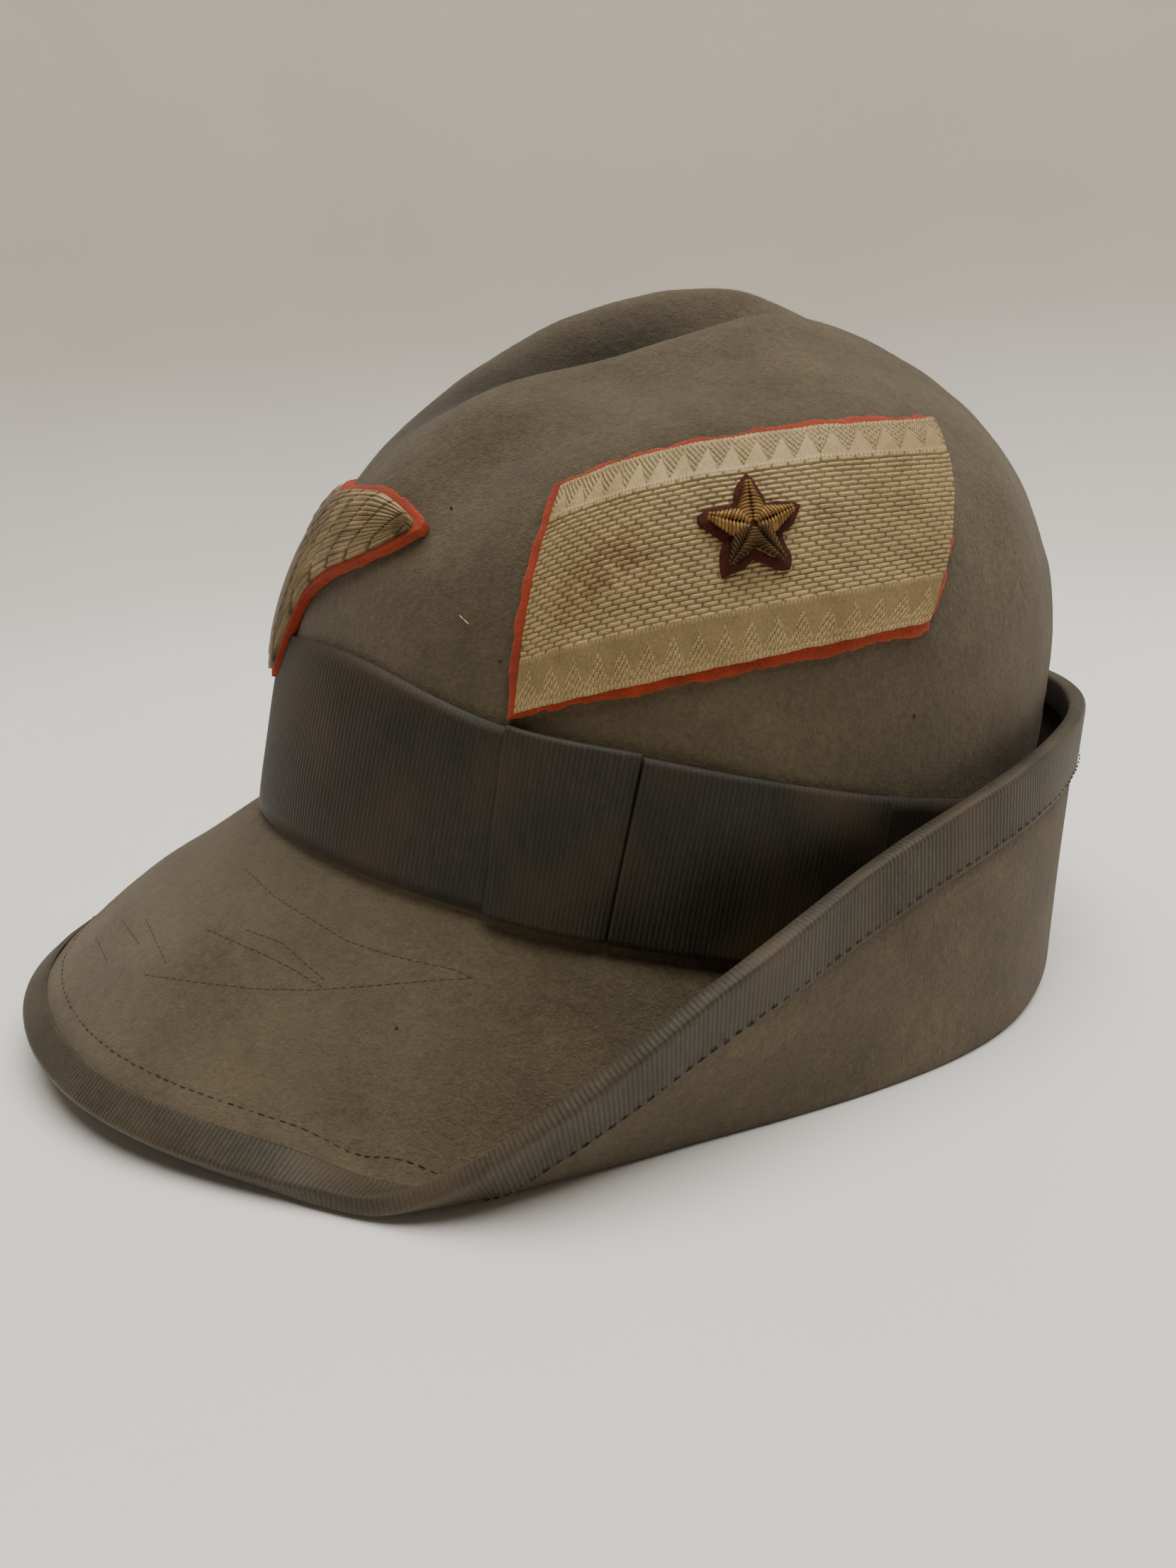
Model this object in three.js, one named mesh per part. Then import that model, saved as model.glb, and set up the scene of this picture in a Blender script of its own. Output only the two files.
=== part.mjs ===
// Alpine hat of felt: a tall crown in one piece with its brim, which is a visor in front and
// turned up round the sides and back. Units are millimetres, +Z is up, the front faces -Y and
// the wearer's left is +X. Angles run from the front (0) over the left side (90) to the back (180).
import * as THREE from "three";

// Driving sizes
const crown_length = 202;
const crown_width = 163;
const crown_height = 146;
const crown_tilt = 14.15;
const front_narrowing = 0.1;
const apex_shift = 2;
const felt = 2;
const base_lift = 1;
const base_round = 2;
const brim_width = 75;
const trim_gap = 0.3;
const band_height = 44;
const band_thickness = 0.9;
const knot_thickness = 1.8;
const tail_thickness = 1;
const binding_thickness = 0.7;
const binding_inner_leaf = 7;
const binding_outer_leaf = 13;
const patch_felt = 1.2;
const lace_thickness = 0.8;
const star_radius = 9.8;
const star_felt = 1.2;
const star_margin = 2.6;
const star_thickness = 2;
const badge_felt = 1.2;
const badge_thickness = 1.8;
const badge_margin = 0.011;
const rest_press = 0.6;

// Side view of the crown: k = (1 - share^n)^(1/m) narrows the oval with height
const front_profile = { n: 3.13, m: 1.5 };
const back_profile = { n: 4.8, m: 1.4 };
const side_profile = { n: 3.5, m: 2 };

// Brim section by angle, as shares of brim_width: where it folds (out from the crown, up from the
// floor), where it ends (out from the crown's wall, up from the floor), and how round the fold is
const BRIM_ROWS = [
  { angle: 0, fold_out: 0.48, fold_up: 0.42, edge_out: 0.78, edge_up: 0.17, round: 0.3 },
  { angle: 20, fold_out: 0.46, fold_up: 0.39, edge_out: 0.73, edge_up: 0.125, round: 0.3 },
  { angle: 40, fold_out: 0.42, fold_up: 0.22, edge_out: 0.635, edge_up: 0.074, round: 0.25 },
  { angle: 50, fold_out: 0.5, fold_up: 0.09, edge_out: 0.605, edge_up: 0.056, round: 0.18 },
  { angle: 56, fold_out: 0.565, fold_up: 0.03, edge_out: 0.6, edge_up: 0.063, round: 0.14 },
  { angle: 63, fold_out: 0.49, fold_up: 0.03, edge_out: 0.573, edge_up: 0.15, round: 0.12 },
  { angle: 70, fold_out: 0.387, fold_up: 0.03, edge_out: 0.53, edge_up: 0.29, round: 0.09 },
  { angle: 85, fold_out: 0.235, fold_up: 0.03, edge_out: 0.353, edge_up: 0.536, round: 0.09 },
  { angle: 105, fold_out: 0.165, fold_up: 0.03, edge_out: 0.1, edge_up: 0.7, round: 0.08 },
  { angle: 130, fold_out: 0.165, fold_up: 0.03, edge_out: 0.03, edge_up: 0.84, round: 0.08 },
  { angle: 155, fold_out: 0.135, fold_up: 0.03, edge_out: 0.02, edge_up: 0.88, round: 0.08 },
  { angle: 180, fold_out: 0.1, fold_up: 0.03, edge_out: 0.03, edge_up: 0.88, round: 0.08 },
];

// Dents (and swells, with a negative depth) pressed into the crown. Places and reaches are shares
// of half its width, half its length and its height; depths are shares of its height.
const DENTS = [
  { x: -0.1, y: 0.08, h: 1.0, wide: 0.6, long: 0.65, tall: 0.4, depth: -0.03 },
  { x: 0.04, y: -0.36, h: 0.97, wide: 0.13, long: 0.5, tall: 0.3, depth: 0.11 },
  { x: 0.42, y: -0.32, h: 0.93, wide: 0.34, long: 0.48, tall: 0.3, depth: 0.09 },
  { x: -0.2, y: -0.3, h: 0.96, wide: 0.13, long: 0.42, tall: 0.22, depth: -0.012 },
  { x: 0.45, y: 0.24, h: 0.93, wide: 0.22, long: 0.2, tall: 0.12, depth: 0.012 },
  { x: 0.64, y: -0.02, h: 0.88, wide: 0.15, long: 0.34, tall: 0.09, depth: 0.01 },
  { x: 0.5, y: -0.66, h: 0.66, wide: 0.2, long: 0.16, tall: 0.13, depth: 0.03 },
  { x: 0.36, y: -0.72, h: 0.74, wide: 0.13, long: 0.14, tall: 0.08, depth: -0.02 },
  { x: -0.5, y: -0.66, h: 0.68, wide: 0.2, long: 0.16, tall: 0.14, depth: 0.02 },
  { x: 0.68, y: 0.52, h: 0.66, wide: 0.12, long: 0.1, tall: 0.22, depth: -0.013 },
  { x: 0.5, y: 0.72, h: 0.5, wide: 0.2, long: 0.14, tall: 0.2, depth: 0.01 },
];

// Height of the ribbon band by angle, as a share of band_height
const BAND_ROWS = [
  { angle: 0, rise: 1.04 },
  { angle: 30, rise: 1.1 },
  { angle: 57, rise: 0.97 },
  { angle: 75, rise: 0.97 },
  { angle: 105, rise: 0.95 },
  { angle: 180, rise: 0.95 },
];

// Trim on the left of the crown: corners and mid points by angle and share of the crown's height
const PATCH_TOP = [
  { angle: 52.2, share: 0.634 },
  { angle: 77.3, share: 0.758 },
  { angle: 115.9, share: 0.838 },
];
const PATCH_BOTTOM = [
  { angle: 56.9, share: 0.302 },
  { angle: 80.7, share: 0.419 },
  { angle: 107.1, share: 0.528 },
];
const LACE_TOP = [
  { angle: 54, share: 0.627 },
  { angle: 76, share: 0.738 },
  { angle: 114.6, share: 0.824 },
];
const LACE_BOTTOM = [
  { angle: 58, share: 0.315 },
  { angle: 81, share: 0.436 },
  { angle: 106.4, share: 0.541 },
];
const STAR_CENTRE = { angle: 80.9, share: 0.618, turn: 17 };
const KNOT = { left_top: 57.2, left_bottom: 58.8, right: 74 };
const TAIL = { end_top: 105.5, end_bottom: 107 };

// Half outline of the badge in front: its low and high edge by angle, as shares of crown_height
const BADGE_ROWS = [
  { angle: 0, low: 0.235, high: 0.548 },
  { angle: 4, low: 0.245, high: 0.556 },
  { angle: 8, low: 0.318, high: 0.562 },
  { angle: 12, low: 0.385, high: 0.567 },
  { angle: 18, low: 0.428, high: 0.573 },
  { angle: 23, low: 0.45, high: 0.574 },
  { angle: 28, low: 0.476, high: 0.563 },
  { angle: 32, low: 0.502, high: 0.549 },
  { angle: 35, low: 0.523, high: 0.536 },
];

// Derived sizes
const half_length = crown_length / 2;
const half_width = crown_width / 2;
const tilt = (crown_tilt * Math.PI) / 180;
const back_height = felt + base_lift;
const binding_stack = trim_gap + binding_thickness;
const bow_stack = 2 * trim_gap + band_thickness + Math.max(tail_thickness, 0);
const wall_clearance = bow_stack + binding_stack + trim_gap + 0.8;

const mix = (a, b, t) => a + (b - a) * t;
const clamp = (v, lo, hi) => Math.min(Math.max(v, lo), hi);
const smooth = (a, b, v) => {
  const t = clamp((v - a) / (b - a), 0, 1);
  return t * t * (3 - 2 * t);
};

// Smooth interpolation of a named column over the angle, the same left and right
function column(rows, name, degrees) {
  const turned = (((degrees + 180) % 360) + 360) % 360;
  const a = Math.abs(turned - 180);
  const slope = (i) => {
    if (i <= 0 || i >= rows.length - 1) return 0;
    return (rows[i + 1][name] - rows[i - 1][name]) / (rows[i + 1].angle - rows[i - 1].angle);
  };
  let i = 0;
  while (i < rows.length - 2 && a > rows[i + 1].angle) i += 1;
  const w = rows[i + 1].angle - rows[i].angle;
  const t = clamp((a - rows[i].angle) / w, 0, 1);
  return (
    (1 + 2 * t) * (1 - t) ** 2 * rows[i][name] +
    t * (1 - t) ** 2 * w * slope(i) +
    t * t * (3 - 2 * t) * rows[i + 1][name] +
    t * t * (t - 1) * w * slope(i + 1)
  );
}

const vec = (x, y, z) => new THREE.Vector3(x, y, z);
const up = vec(0, 0, 1);
const axis = vec(0, Math.sin(tilt), Math.cos(tilt));

// Unit direction straight out of the crown's oval, level with the floor
function outward(degrees) {
  const t = THREE.MathUtils.degToRad(degrees);
  const c = Math.cos(t);
  const s = Math.sin(t);
  const along_x = half_width * (c * (1 - front_narrowing * c) + front_narrowing * s * s);
  const along_y = half_length * s;
  return vec(along_y, -along_x, 0).normalize();
}

// Outside of the crown at an angle and a share of its height
function crownPoint(degrees, share) {
  const t = THREE.MathUtils.degToRad(degrees);
  const c = Math.cos(t);
  const s = Math.sin(t);
  const u = clamp(share, -0.05, 0.99995);
  const rise = Math.max(u, 0);
  const ends = c > 0 ? front_profile : back_profile;
  const k_end = (1 - rise ** ends.n) ** (1 / ends.m);
  const k_side = (1 - rise ** side_profile.n) ** (1 / side_profile.m);
  const x = half_width * k_side * s * (1 - front_narrowing * c);
  const y = -half_length * k_end * c + apex_shift * (1 - k_end);
  const h = crown_height * u;
  const p = vec(x, y * Math.cos(tilt) + h * Math.sin(tilt), 0);
  p.z = back_height + half_length * Math.sin(tilt) - y * Math.sin(tilt) + h * Math.cos(tilt);
  let push = 0;
  for (const d of DENTS) {
    const a = (x / half_width - d.x) / d.wide;
    const b = (y / half_length - d.y) / d.long;
    const e = (u - d.h) / d.tall;
    push += d.depth * crown_height * Math.exp(-(a * a + b * b + e * e));
  }
  const level = 1 - rise ** 4;
  const away = outward(degrees).multiplyScalar(level).addScaledVector(axis, 1 - level);
  return p.addScaledVector(away.normalize(), -push);
}

// Point lifted off the crown's outside, square to it
function onCrown(degrees, share, lift) {
  const p = crownPoint(degrees, share);
  const step = share > 0.97 ? 4 : 0.5;
  const across = crownPoint(degrees + step, share).sub(crownPoint(degrees - step, share));
  const along = crownPoint(degrees, share + 0.004).sub(crownPoint(degrees, share - 0.004));
  return p.addScaledVector(across.cross(along).normalize(), lift);
}

// Section of the brim's upper side at an angle: crown foot, fold and edge as (out, up) pairs
function brimSection(degrees) {
  const foot = crownPoint(degrees, 0);
  const get = (name) => column(BRIM_ROWS, name, degrees) * brim_width;
  const edge_z = get("edge_up");
  let share = 0;
  for (let k = 0; k < 6; k += 1) {
    share = clamp(share + (edge_z - crownPoint(degrees, share).z) / crown_height, 0, 0.75);
  }
  const wall = crownPoint(degrees, share).sub(foot).dot(outward(degrees));
  const edge = { out: wall + wall_clearance + get("edge_out"), z: edge_z };
  const fold = { out: wall_clearance * 0.4 + get("fold_out"), z: get("fold_up") };
  const rests = smooth(44, 54, Math.abs(((degrees + 540) % 360) - 180));
  let first = 0;
  let second = 0;
  let round = 0;
  const measure = () => {
    first = Math.hypot(fold.out, fold.z - foot.z);
    second = Math.hypot(edge.out - fold.out, edge.z - fold.z);
    round = Math.min(get("round"), 0.45 * first, 0.45 * second);
  };
  const at = (distance) => {
    const a = { out: fold.out / first, z: (fold.z - foot.z) / first };
    const b = { out: (edge.out - fold.out) / second, z: (edge.z - fold.z) / second };
    const d = distance - first;
    if (d <= -round) return { out: a.out * distance, z: foot.z + a.z * distance };
    if (d >= round) return { out: fold.out + b.out * d, z: fold.z + b.z * d };
    const t = (d + round) / (2 * round);
    const from = -((1 - t) ** 2) * round;
    const to = t * t * round;
    return { out: fold.out + a.out * from + b.out * to, z: fold.z + a.z * from + b.z * to };
  };
  measure();
  const free = fold.z;
  for (let k = 0; k < 5 && rests > 0; k += 1) {
    let lowest = 1e9;
    for (let i = 0; i <= 8; i += 1) {
      const d = first + (i / 4 - 1) * round;
      const p = at(d);
      const q = at(d + 0.01);
      const slant = (q.out - p.out) / Math.hypot(q.out - p.out, q.z - p.z);
      lowest = Math.min(lowest, p.z - felt * slant);
    }
    const covered = 1 - smooth(binding_outer_leaf + 3, binding_outer_leaf + 9, second);
    const wanted = mix(-rest_press, binding_stack + 0.4 * trim_gap, covered);
    fold.z += wanted - lowest;
    measure();
  }
  fold.z = mix(free, fold.z, rests);
  measure();
  return { foot, at, first, round, length: first + second };
}

const sections = new Map();
function section(degrees) {
  const key = degrees.toFixed(3);
  if (!sections.has(key)) sections.set(key, brimSection(degrees));
  return sections.get(key);
}

// Brim's upper side at a distance back from its edge, lifted square to it
function brimPoint(degrees, from_edge, lift) {
  const place = (angle, back) => {
    const s = section(angle);
    const p = s.at(s.length - back);
    return s.foot.clone().setZ(p.z).addScaledVector(outward(angle), p.out);
  };
  const across = place(degrees + 0.5, from_edge).sub(place(degrees - 0.5, from_edge));
  const along = place(degrees, from_edge + 0.2).sub(place(degrees, from_edge - 0.2));
  return place(degrees, from_edge).addScaledVector(across.cross(along).normalize(), lift);
}

// Angles of the columns round the hat, closer together at the visor's corners
const COLUMN_SPANS = [
  { from: 0, to: 42, steps: 6 },
  { from: 42, to: 75, steps: 11 },
  { from: 75, to: 180, steps: 12 },
];
const half_angles = COLUMN_SPANS.flatMap((s) =>
  Array.from({ length: s.steps }, (_, i) => mix(s.from, s.to, i / s.steps)),
);
const column_angles = [...half_angles, 180, ...half_angles.slice(1).reverse().map((a) => 360 - a)];

// Closed solid between two grids of points of the same size. Rows run down, columns across.
function solidSheet(name, top, bottom, options, material) {
  const rows = top.length;
  const cols = top[0].length;
  const ring = Boolean(options.ring);
  const points = [...top.flat(), ...bottom.flat()];
  const id = (layer, i, j) => layer * rows * cols + i * cols + (ring ? j % cols : j);
  const faces = [];
  const quad = (a, b, c, d) => faces.push([a, b, c], [a, c, d]);
  const last = ring ? cols : cols - 1;
  for (let i = 0; i < rows - 1; i += 1) {
    for (let j = 0; j < last; j += 1) {
      quad(id(0, i, j), id(0, i + 1, j), id(0, i + 1, j + 1), id(0, i, j + 1));
      quad(id(1, i, j), id(1, i, j + 1), id(1, i + 1, j + 1), id(1, i + 1, j));
    }
  }
  for (let j = 0; j < last; j += 1) {
    if (!options.pole) quad(id(0, 0, j), id(0, 0, j + 1), id(1, 0, j + 1), id(1, 0, j));
    const e = rows - 1;
    quad(id(0, e, j), id(1, e, j), id(1, e, j + 1), id(0, e, j + 1));
  }
  if (!ring) {
    for (let i = 0; i < rows - 1; i += 1) {
      const e = cols - 1;
      quad(id(0, i, 0), id(1, i, 0), id(1, i + 1, 0), id(0, i + 1, 0));
      quad(id(0, i, e), id(0, i + 1, e), id(1, i + 1, e), id(1, i, e));
    }
  }
  return toMesh(name, points, faces, material);
}

// Mesh of triangles with its faces turned out and its empty ones left away
function toMesh(name, points, faces, material) {
  let volume = 0;
  const kept = faces.filter(([a, b, c]) => {
    const same = (i, j) => points[i].distanceToSquared(points[j]) < 1e-8;
    return !same(a, b) && !same(b, c) && !same(a, c);
  });
  for (const [a, b, c] of kept) volume += points[a].dot(points[b].clone().cross(points[c]));
  const place = kept.flatMap(([a, b, c]) => {
    const turned = volume > 0 ? [a, b, c] : [a, c, b];
    return turned.flatMap((i) => points[i].toArray());
  });
  const geometry = new THREE.BufferGeometry();
  geometry.setAttribute("position", new THREE.Float32BufferAttribute(place, 3));
  geometry.computeVertexNormals();
  const mesh = new THREE.Mesh(geometry, material);
  mesh.name = name;
  return mesh;
}

const cloth = (color, roughness) => new THREE.MeshStandardMaterial({ color, roughness });
const kept_up = (p, least) => p.setZ(Math.max(p.z, least));

// Crown and brim: one felt, its upper side and its under side
function feltBody() {
  const shares = [1];
  for (let k = 1; k <= 10; k += 1) shares.push(Math.sin((Math.PI / 2) * (1 - k / 12)) ** 0.62);
  shares.push(0.24, 0.15);
  const round_share = base_round / crown_height;
  const top = [];
  const under = [];
  const addRow = (make) => {
    top.push(column_angles.map((a) => make(a, 0)));
    under.push(column_angles.map((a) => kept_up(make(a, -felt), 0)));
  };
  for (const share of shares) {
    const tip = onCrown(0, 0.9999, 0);
    addRow((a, lift) => {
      if (share === 1) return tip.clone().addScaledVector(axis, lift);
      return onCrown(a, share, lift);
    });
  }
  for (const t of [0, 0.34, 0.67]) {
    addRow((a, lift) => {
      const s = section(a);
      const wall = onCrown(a, round_share, lift);
      const foot_wall = onCrown(a, 0, lift);
      const foot_brim = brimPoint(a, s.length, lift);
      const corner = foot_wall.lerp(foot_brim, 0.5);
      const floor = brimPoint(a, s.length - base_round, lift);
      const p = wall.multiplyScalar((1 - t) ** 2).addScaledVector(corner, 2 * t * (1 - t));
      return p.addScaledVector(floor, t * t);
    });
  }
  const stops = (s) => {
    const { first, round } = s;
    const leaf = s.length - binding_outer_leaf;
    const natural = [
      base_round,
      mix(base_round, first - round, 0.55),
      first - round * 0.85,
      first - round * 0.2,
      first + round * 0.2,
      first + round * 0.85,
      mix(first + round, Math.max(leaf, first + round), 0.5),
      leaf,
    ];
    return natural.map((d, i) => Math.min(d, leaf - (natural.length - 1 - i) * 0.8));
  };
  const count = stops(section(0)).length;
  for (let i = 0; i < count; i += 1) {
    addRow((a, lift) => {
      const s = section(a);
      return brimPoint(a, s.length - stops(s)[i], lift);
    });
  }
  for (const back of [binding_inner_leaf, binding_inner_leaf / 2, 0]) {
    addRow((a, lift) => brimPoint(a, back, lift));
  }
  return solidSheet("felt_body", top, under, { ring: true, pole: true }, cloth(0x6b6858, 0.95));
}

// Ribbon band round the crown's foot
const band_foot = base_round * 0.85;
const bandTop = (a) => (band_height * column(BAND_ROWS, "rise", a)) / crown_height;
const bandShare = (a, t) => mix(band_foot / crown_height, bandTop(a), t);
function ribbonBand() {
  const steps = [1, 0.72, 0.4, 0];
  const rows = (lift) => steps.map((t) => column_angles.map((a) => onCrown(a, bandShare(a, t), lift)));
  const outer = rows(trim_gap + band_thickness);
  return solidSheet("hat_band", outer, rows(trim_gap), { ring: true }, cloth(0x3f4138, 0.7));
}

// Flat piece of trim over the crown, on a grid between two sides
function trimSheet(name, across, down, place, lift, thickness, material) {
  const rows = (height) =>
    Array.from({ length: down + 1 }, (_, i) =>
      Array.from({ length: across + 1 }, (__, j) => {
        const p = place(j / across, i / down);
        return onCrown(p.angle, p.share, height(j / across, i / down));
      }),
    );
  return solidSheet(name, rows((s, t) => lift + thickness(s, t)), rows(() => lift), {}, material);
}

const band_lift = trim_gap + band_thickness + trim_gap;
function bandKnot() {
  const place = (s, t) => {
    const angle = mix(mix(KNOT.left_top, KNOT.left_bottom, t), KNOT.right, s);
    const rise = bandShare(angle, 1.015 - 1.015 * t);
    return { angle, share: rise };
  };
  const puff = (s) => knot_thickness * (0.62 + 0.38 * Math.sqrt(Math.sin(Math.PI * mix(0.06, 0.94, s))));
  return trimSheet("band_knot", 6, 5, place, band_lift, puff, cloth(0x43453b, 0.7));
}

function bandTail() {
  const start = KNOT.right + (trim_gap / half_width) * 58;
  const place = (s, t) => {
    const angle = mix(start, mix(TAIL.end_top, TAIL.end_bottom, t), s);
    return { angle, share: bandShare(angle, 1 - t) };
  };
  return trimSheet("band_tail", 8, 3, place, band_lift, () => tail_thickness, cloth(0x3c3e36, 0.7));
}

// Ribbon bound over the brim's edge: a narrow leaf on the upper side, a wide one on the under side
function brimBinding() {
  const g = trim_gap;
  const t = trim_gap + binding_thickness;
  const n = binding_inner_leaf;
  const w = binding_outer_leaf;
  const loop = [
    { back: n, lift: g },
    { back: n * 0.5, lift: g },
    { back: -g, lift: g },
    { back: -g, lift: -felt - g },
    { back: n * 0.5, lift: -felt - g },
    { back: n, lift: -felt - g },
    { back: w, lift: -felt - g },
    { back: w, lift: -felt - t },
    { back: n, lift: -felt - t },
    { back: n * 0.5, lift: -felt - t },
    { back: 0, lift: -felt - t },
    { back: -t, lift: -felt - g },
    { back: -t, lift: g },
    { back: 0, lift: t },
    { back: n * 0.5, lift: t },
    { back: n, lift: t },
  ];
  const points = loop.flatMap((q) => column_angles.map((a) => brimPoint(a, q.back, q.lift)));
  const cols = column_angles.length;
  const id = (k, j) => (k % loop.length) * cols + (j % cols);
  const faces = [];
  for (let k = 0; k < loop.length; k += 1) {
    const inward = loop[(k + 1) % loop.length].back > loop[k].back;
    for (let j = 0; j < cols; j += 1) {
      const [a, b, c, d] = [id(k, j), id(k + 1, j), id(k + 1, j + 1), id(k, j + 1)];
      if (inward) faces.push([a, b, d], [b, c, d]);
      else faces.push([a, b, c], [a, c, d]);
    }
  }
  return toMesh("brim_binding", points, faces, cloth(0x55564a, 0.65));
}

// Curve through three stops, at a share of its length
function through(stops, s) {
  const w = [(1 - s) * (1 - 2 * s), 4 * s * (1 - s), s * (2 * s - 1)];
  const sum = (name) => stops.reduce((v, q, i) => v + w[i] * q[name], 0);
  return { angle: sum("angle"), share: sum("share") };
}

const between = (top, bottom) => (s, t) => {
  const a = through(top, s);
  const b = through(bottom, s);
  return { angle: mix(a.angle, b.angle, t), share: mix(a.share, b.share, t) };
};

const lace_lift = trim_gap + patch_felt + trim_gap;
const star_lift = lace_lift + lace_thickness + trim_gap;
const bullion_lift = star_lift + star_felt + trim_gap;

// Star-shaped piece over the crown, in rings round its centre
function starPiece(name, tip, notch, soft, lift, height, material) {
  const turns = 20;
  const rings = [0, 0.5, 1];
  const c = STAR_CENTRE;
  const p0 = crownPoint(c.angle, c.share);
  const per_degree = crownPoint(c.angle + 1, c.share).distanceTo(p0);
  const per_share = crownPoint(c.angle, c.share + 0.01).distanceTo(p0) * 100;
  const reach = (k) => {
    const phase = k % 4;
    if (phase === 0) return tip;
    if (phase === 2) return notch;
    const across = Math.cos(Math.PI / 10) / Math.hypot(tip, notch);
    return mix(tip * notch * across * 1.32, (tip + notch) / 2, soft);
  };
  const grid = (raised) =>
    rings.map((r) =>
      Array.from({ length: turns }, (_, k) => {
        const a = ((90 + c.turn - (k * 360) / turns) * Math.PI) / 180;
        const x = Math.cos(a) * reach(k) * r;
        const y = Math.sin(a) * reach(k) * r;
        const angle = c.angle + x / per_degree;
        const rise = raised ? lift + height(k % 4, r) : lift;
        return onCrown(angle, c.share + y / per_share, rise);
      }),
    );
  return solidSheet(name, grid(true), grid(false), { ring: true, pole: true }, material);
}

function badgeRow(angle, margin) {
  const low = column(BADGE_ROWS, "low", angle) + margin;
  const high = column(BADGE_ROWS, "high", angle) - margin;
  const middle = (low + high) / 2;
  return { low: Math.min(low, middle - 0.003), high: Math.max(high, middle + 0.003) };
}

// Badge in front: spread wings either side of a plain boss, over a felt of the same outline
function badgePiece(name, across, down, reach, margin, lift, height, material) {
  const place = (s, t) => {
    const angle = reach * (2 * s - 1);
    const row = badgeRow(angle, margin);
    return { angle, share: mix(row.high, row.low, t) };
  };
  return trimSheet(name, across, down, place, lift, (s, t) => height(reach * (2 * s - 1), t), material);
}

const badge_reach = BADGE_ROWS[BADGE_ROWS.length - 1].angle;
const badge_lift = band_lift;
const wings = (angle, t) => {
  const a = Math.abs(angle);
  const boss = Math.sqrt(Math.max(0, 1 - (a / 7) ** 2 - ((t - 0.55) / 0.3) ** 2));
  const edge = Math.min(1, 0.45 + 3 * Math.min(t, 1 - t));
  return badge_thickness * (0.72 * edge + 0.28 * boss);
};

const red = cloth(0xa23a1e, 0.9);
const star_height = (phase, r) => {
  const ridge = phase === 0 ? 0.95 : phase === 2 ? 0.5 : 0.72;
  return star_thickness * (r === 0 ? 1 : r === 1 ? 0.35 : mix(1, ridge, r));
};

const hat = new THREE.Group();
hat.add(
  feltBody(),
  ribbonBand(),
  bandKnot(),
  bandTail(),
  brimBinding(),
  trimSheet("patch_felt", 10, 6, between(PATCH_TOP, PATCH_BOTTOM), trim_gap, () => patch_felt, red),
  trimSheet(
    "patch_lace",
    10,
    6,
    between(LACE_TOP, LACE_BOTTOM),
    lace_lift,
    () => lace_thickness,
    cloth(0xb9ad8e, 0.45),
  ),
  starPiece(
    "star_felt",
    star_radius + star_margin,
    star_radius * 0.47 + star_margin,
    1,
    star_lift,
    () => star_felt,
    cloth(0x5a1a14, 0.9),
  ),
  starPiece(
    "star_bullion",
    star_radius,
    star_radius * 0.47,
    0.3,
    bullion_lift,
    star_height,
    cloth(0x7a6238, 0.4),
  ),
  badgePiece("badge_felt", 20, 3, badge_reach, 0, badge_lift, () => badge_felt, red),
  badgePiece(
    "badge_wings",
    20,
    5,
    badge_reach - 2,
    badge_margin,
    badge_lift + badge_felt + trim_gap,
    wings,
    cloth(0x8d8063, 0.45),
  ),
);

// The hat stands on the floor with the middle of its length and width over the origin
const box = new THREE.Box3().setFromObject(hat, true);
hat.children.forEach((mesh) => {
  mesh.geometry.translate(-(box.min.x + box.max.x) / 2, -(box.min.y + box.max.y) / 2, -box.min.z);
});

export default hat;
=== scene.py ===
"""Looks of the felt alpine hat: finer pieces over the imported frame, materials, light and camera.
Lengths in the tables and functions are millimetres; meshes are written in metres."""

import math

import bpy
import numpy as np
from mathutils import Matrix, Vector
from mathutils.bvhtree import BVHTree


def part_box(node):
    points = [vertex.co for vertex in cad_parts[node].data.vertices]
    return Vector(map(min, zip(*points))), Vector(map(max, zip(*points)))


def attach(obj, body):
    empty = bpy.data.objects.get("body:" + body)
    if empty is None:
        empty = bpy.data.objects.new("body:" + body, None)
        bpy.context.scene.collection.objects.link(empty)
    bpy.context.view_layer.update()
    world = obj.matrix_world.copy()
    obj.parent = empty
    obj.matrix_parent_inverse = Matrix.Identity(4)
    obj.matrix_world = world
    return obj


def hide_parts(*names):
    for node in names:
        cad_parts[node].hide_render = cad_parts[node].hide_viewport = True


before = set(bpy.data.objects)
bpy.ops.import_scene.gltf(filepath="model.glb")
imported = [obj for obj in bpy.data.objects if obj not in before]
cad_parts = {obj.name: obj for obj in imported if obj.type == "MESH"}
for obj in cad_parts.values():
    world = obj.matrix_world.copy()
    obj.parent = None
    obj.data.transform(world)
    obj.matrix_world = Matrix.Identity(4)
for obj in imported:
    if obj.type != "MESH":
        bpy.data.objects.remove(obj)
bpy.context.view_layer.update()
rng = np.random.default_rng(7)

# Sizes of the hat, as in its frame
half_length, half_width, crown_height = 101.0, 81.5, 146.0
tilt = math.radians(14.15)
front_narrowing, apex_shift = 0.1, 2.0
felt, base_lift, base_round = 2.0, 1.0, 2.0
brim_width = 75.0
gap, band_height, band_thickness = 0.3, 44.0, 0.9
knot_thickness, tail_thickness = 1.8, 1.0
binding_thickness, inner_leaf, outer_leaf = 0.7, 7.0, 13.0
patch_thick, lace_thick, star_radius = 1.2, 0.8, 9.8
badge_thick, rest_press = 1.8, 0.6
back_height = felt + base_lift
binding_stack = gap + binding_thickness
bow_stack = 2 * gap + band_thickness + tail_thickness
wall_clearance = bow_stack + binding_stack + gap + 0.8
# powers of the rise and of the reach in the crown's front, back and side profiles
FRONT, BACK, SIDE = (3.13, 1.5), (4.8, 1.4), (3.5, 2.0)

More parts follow.
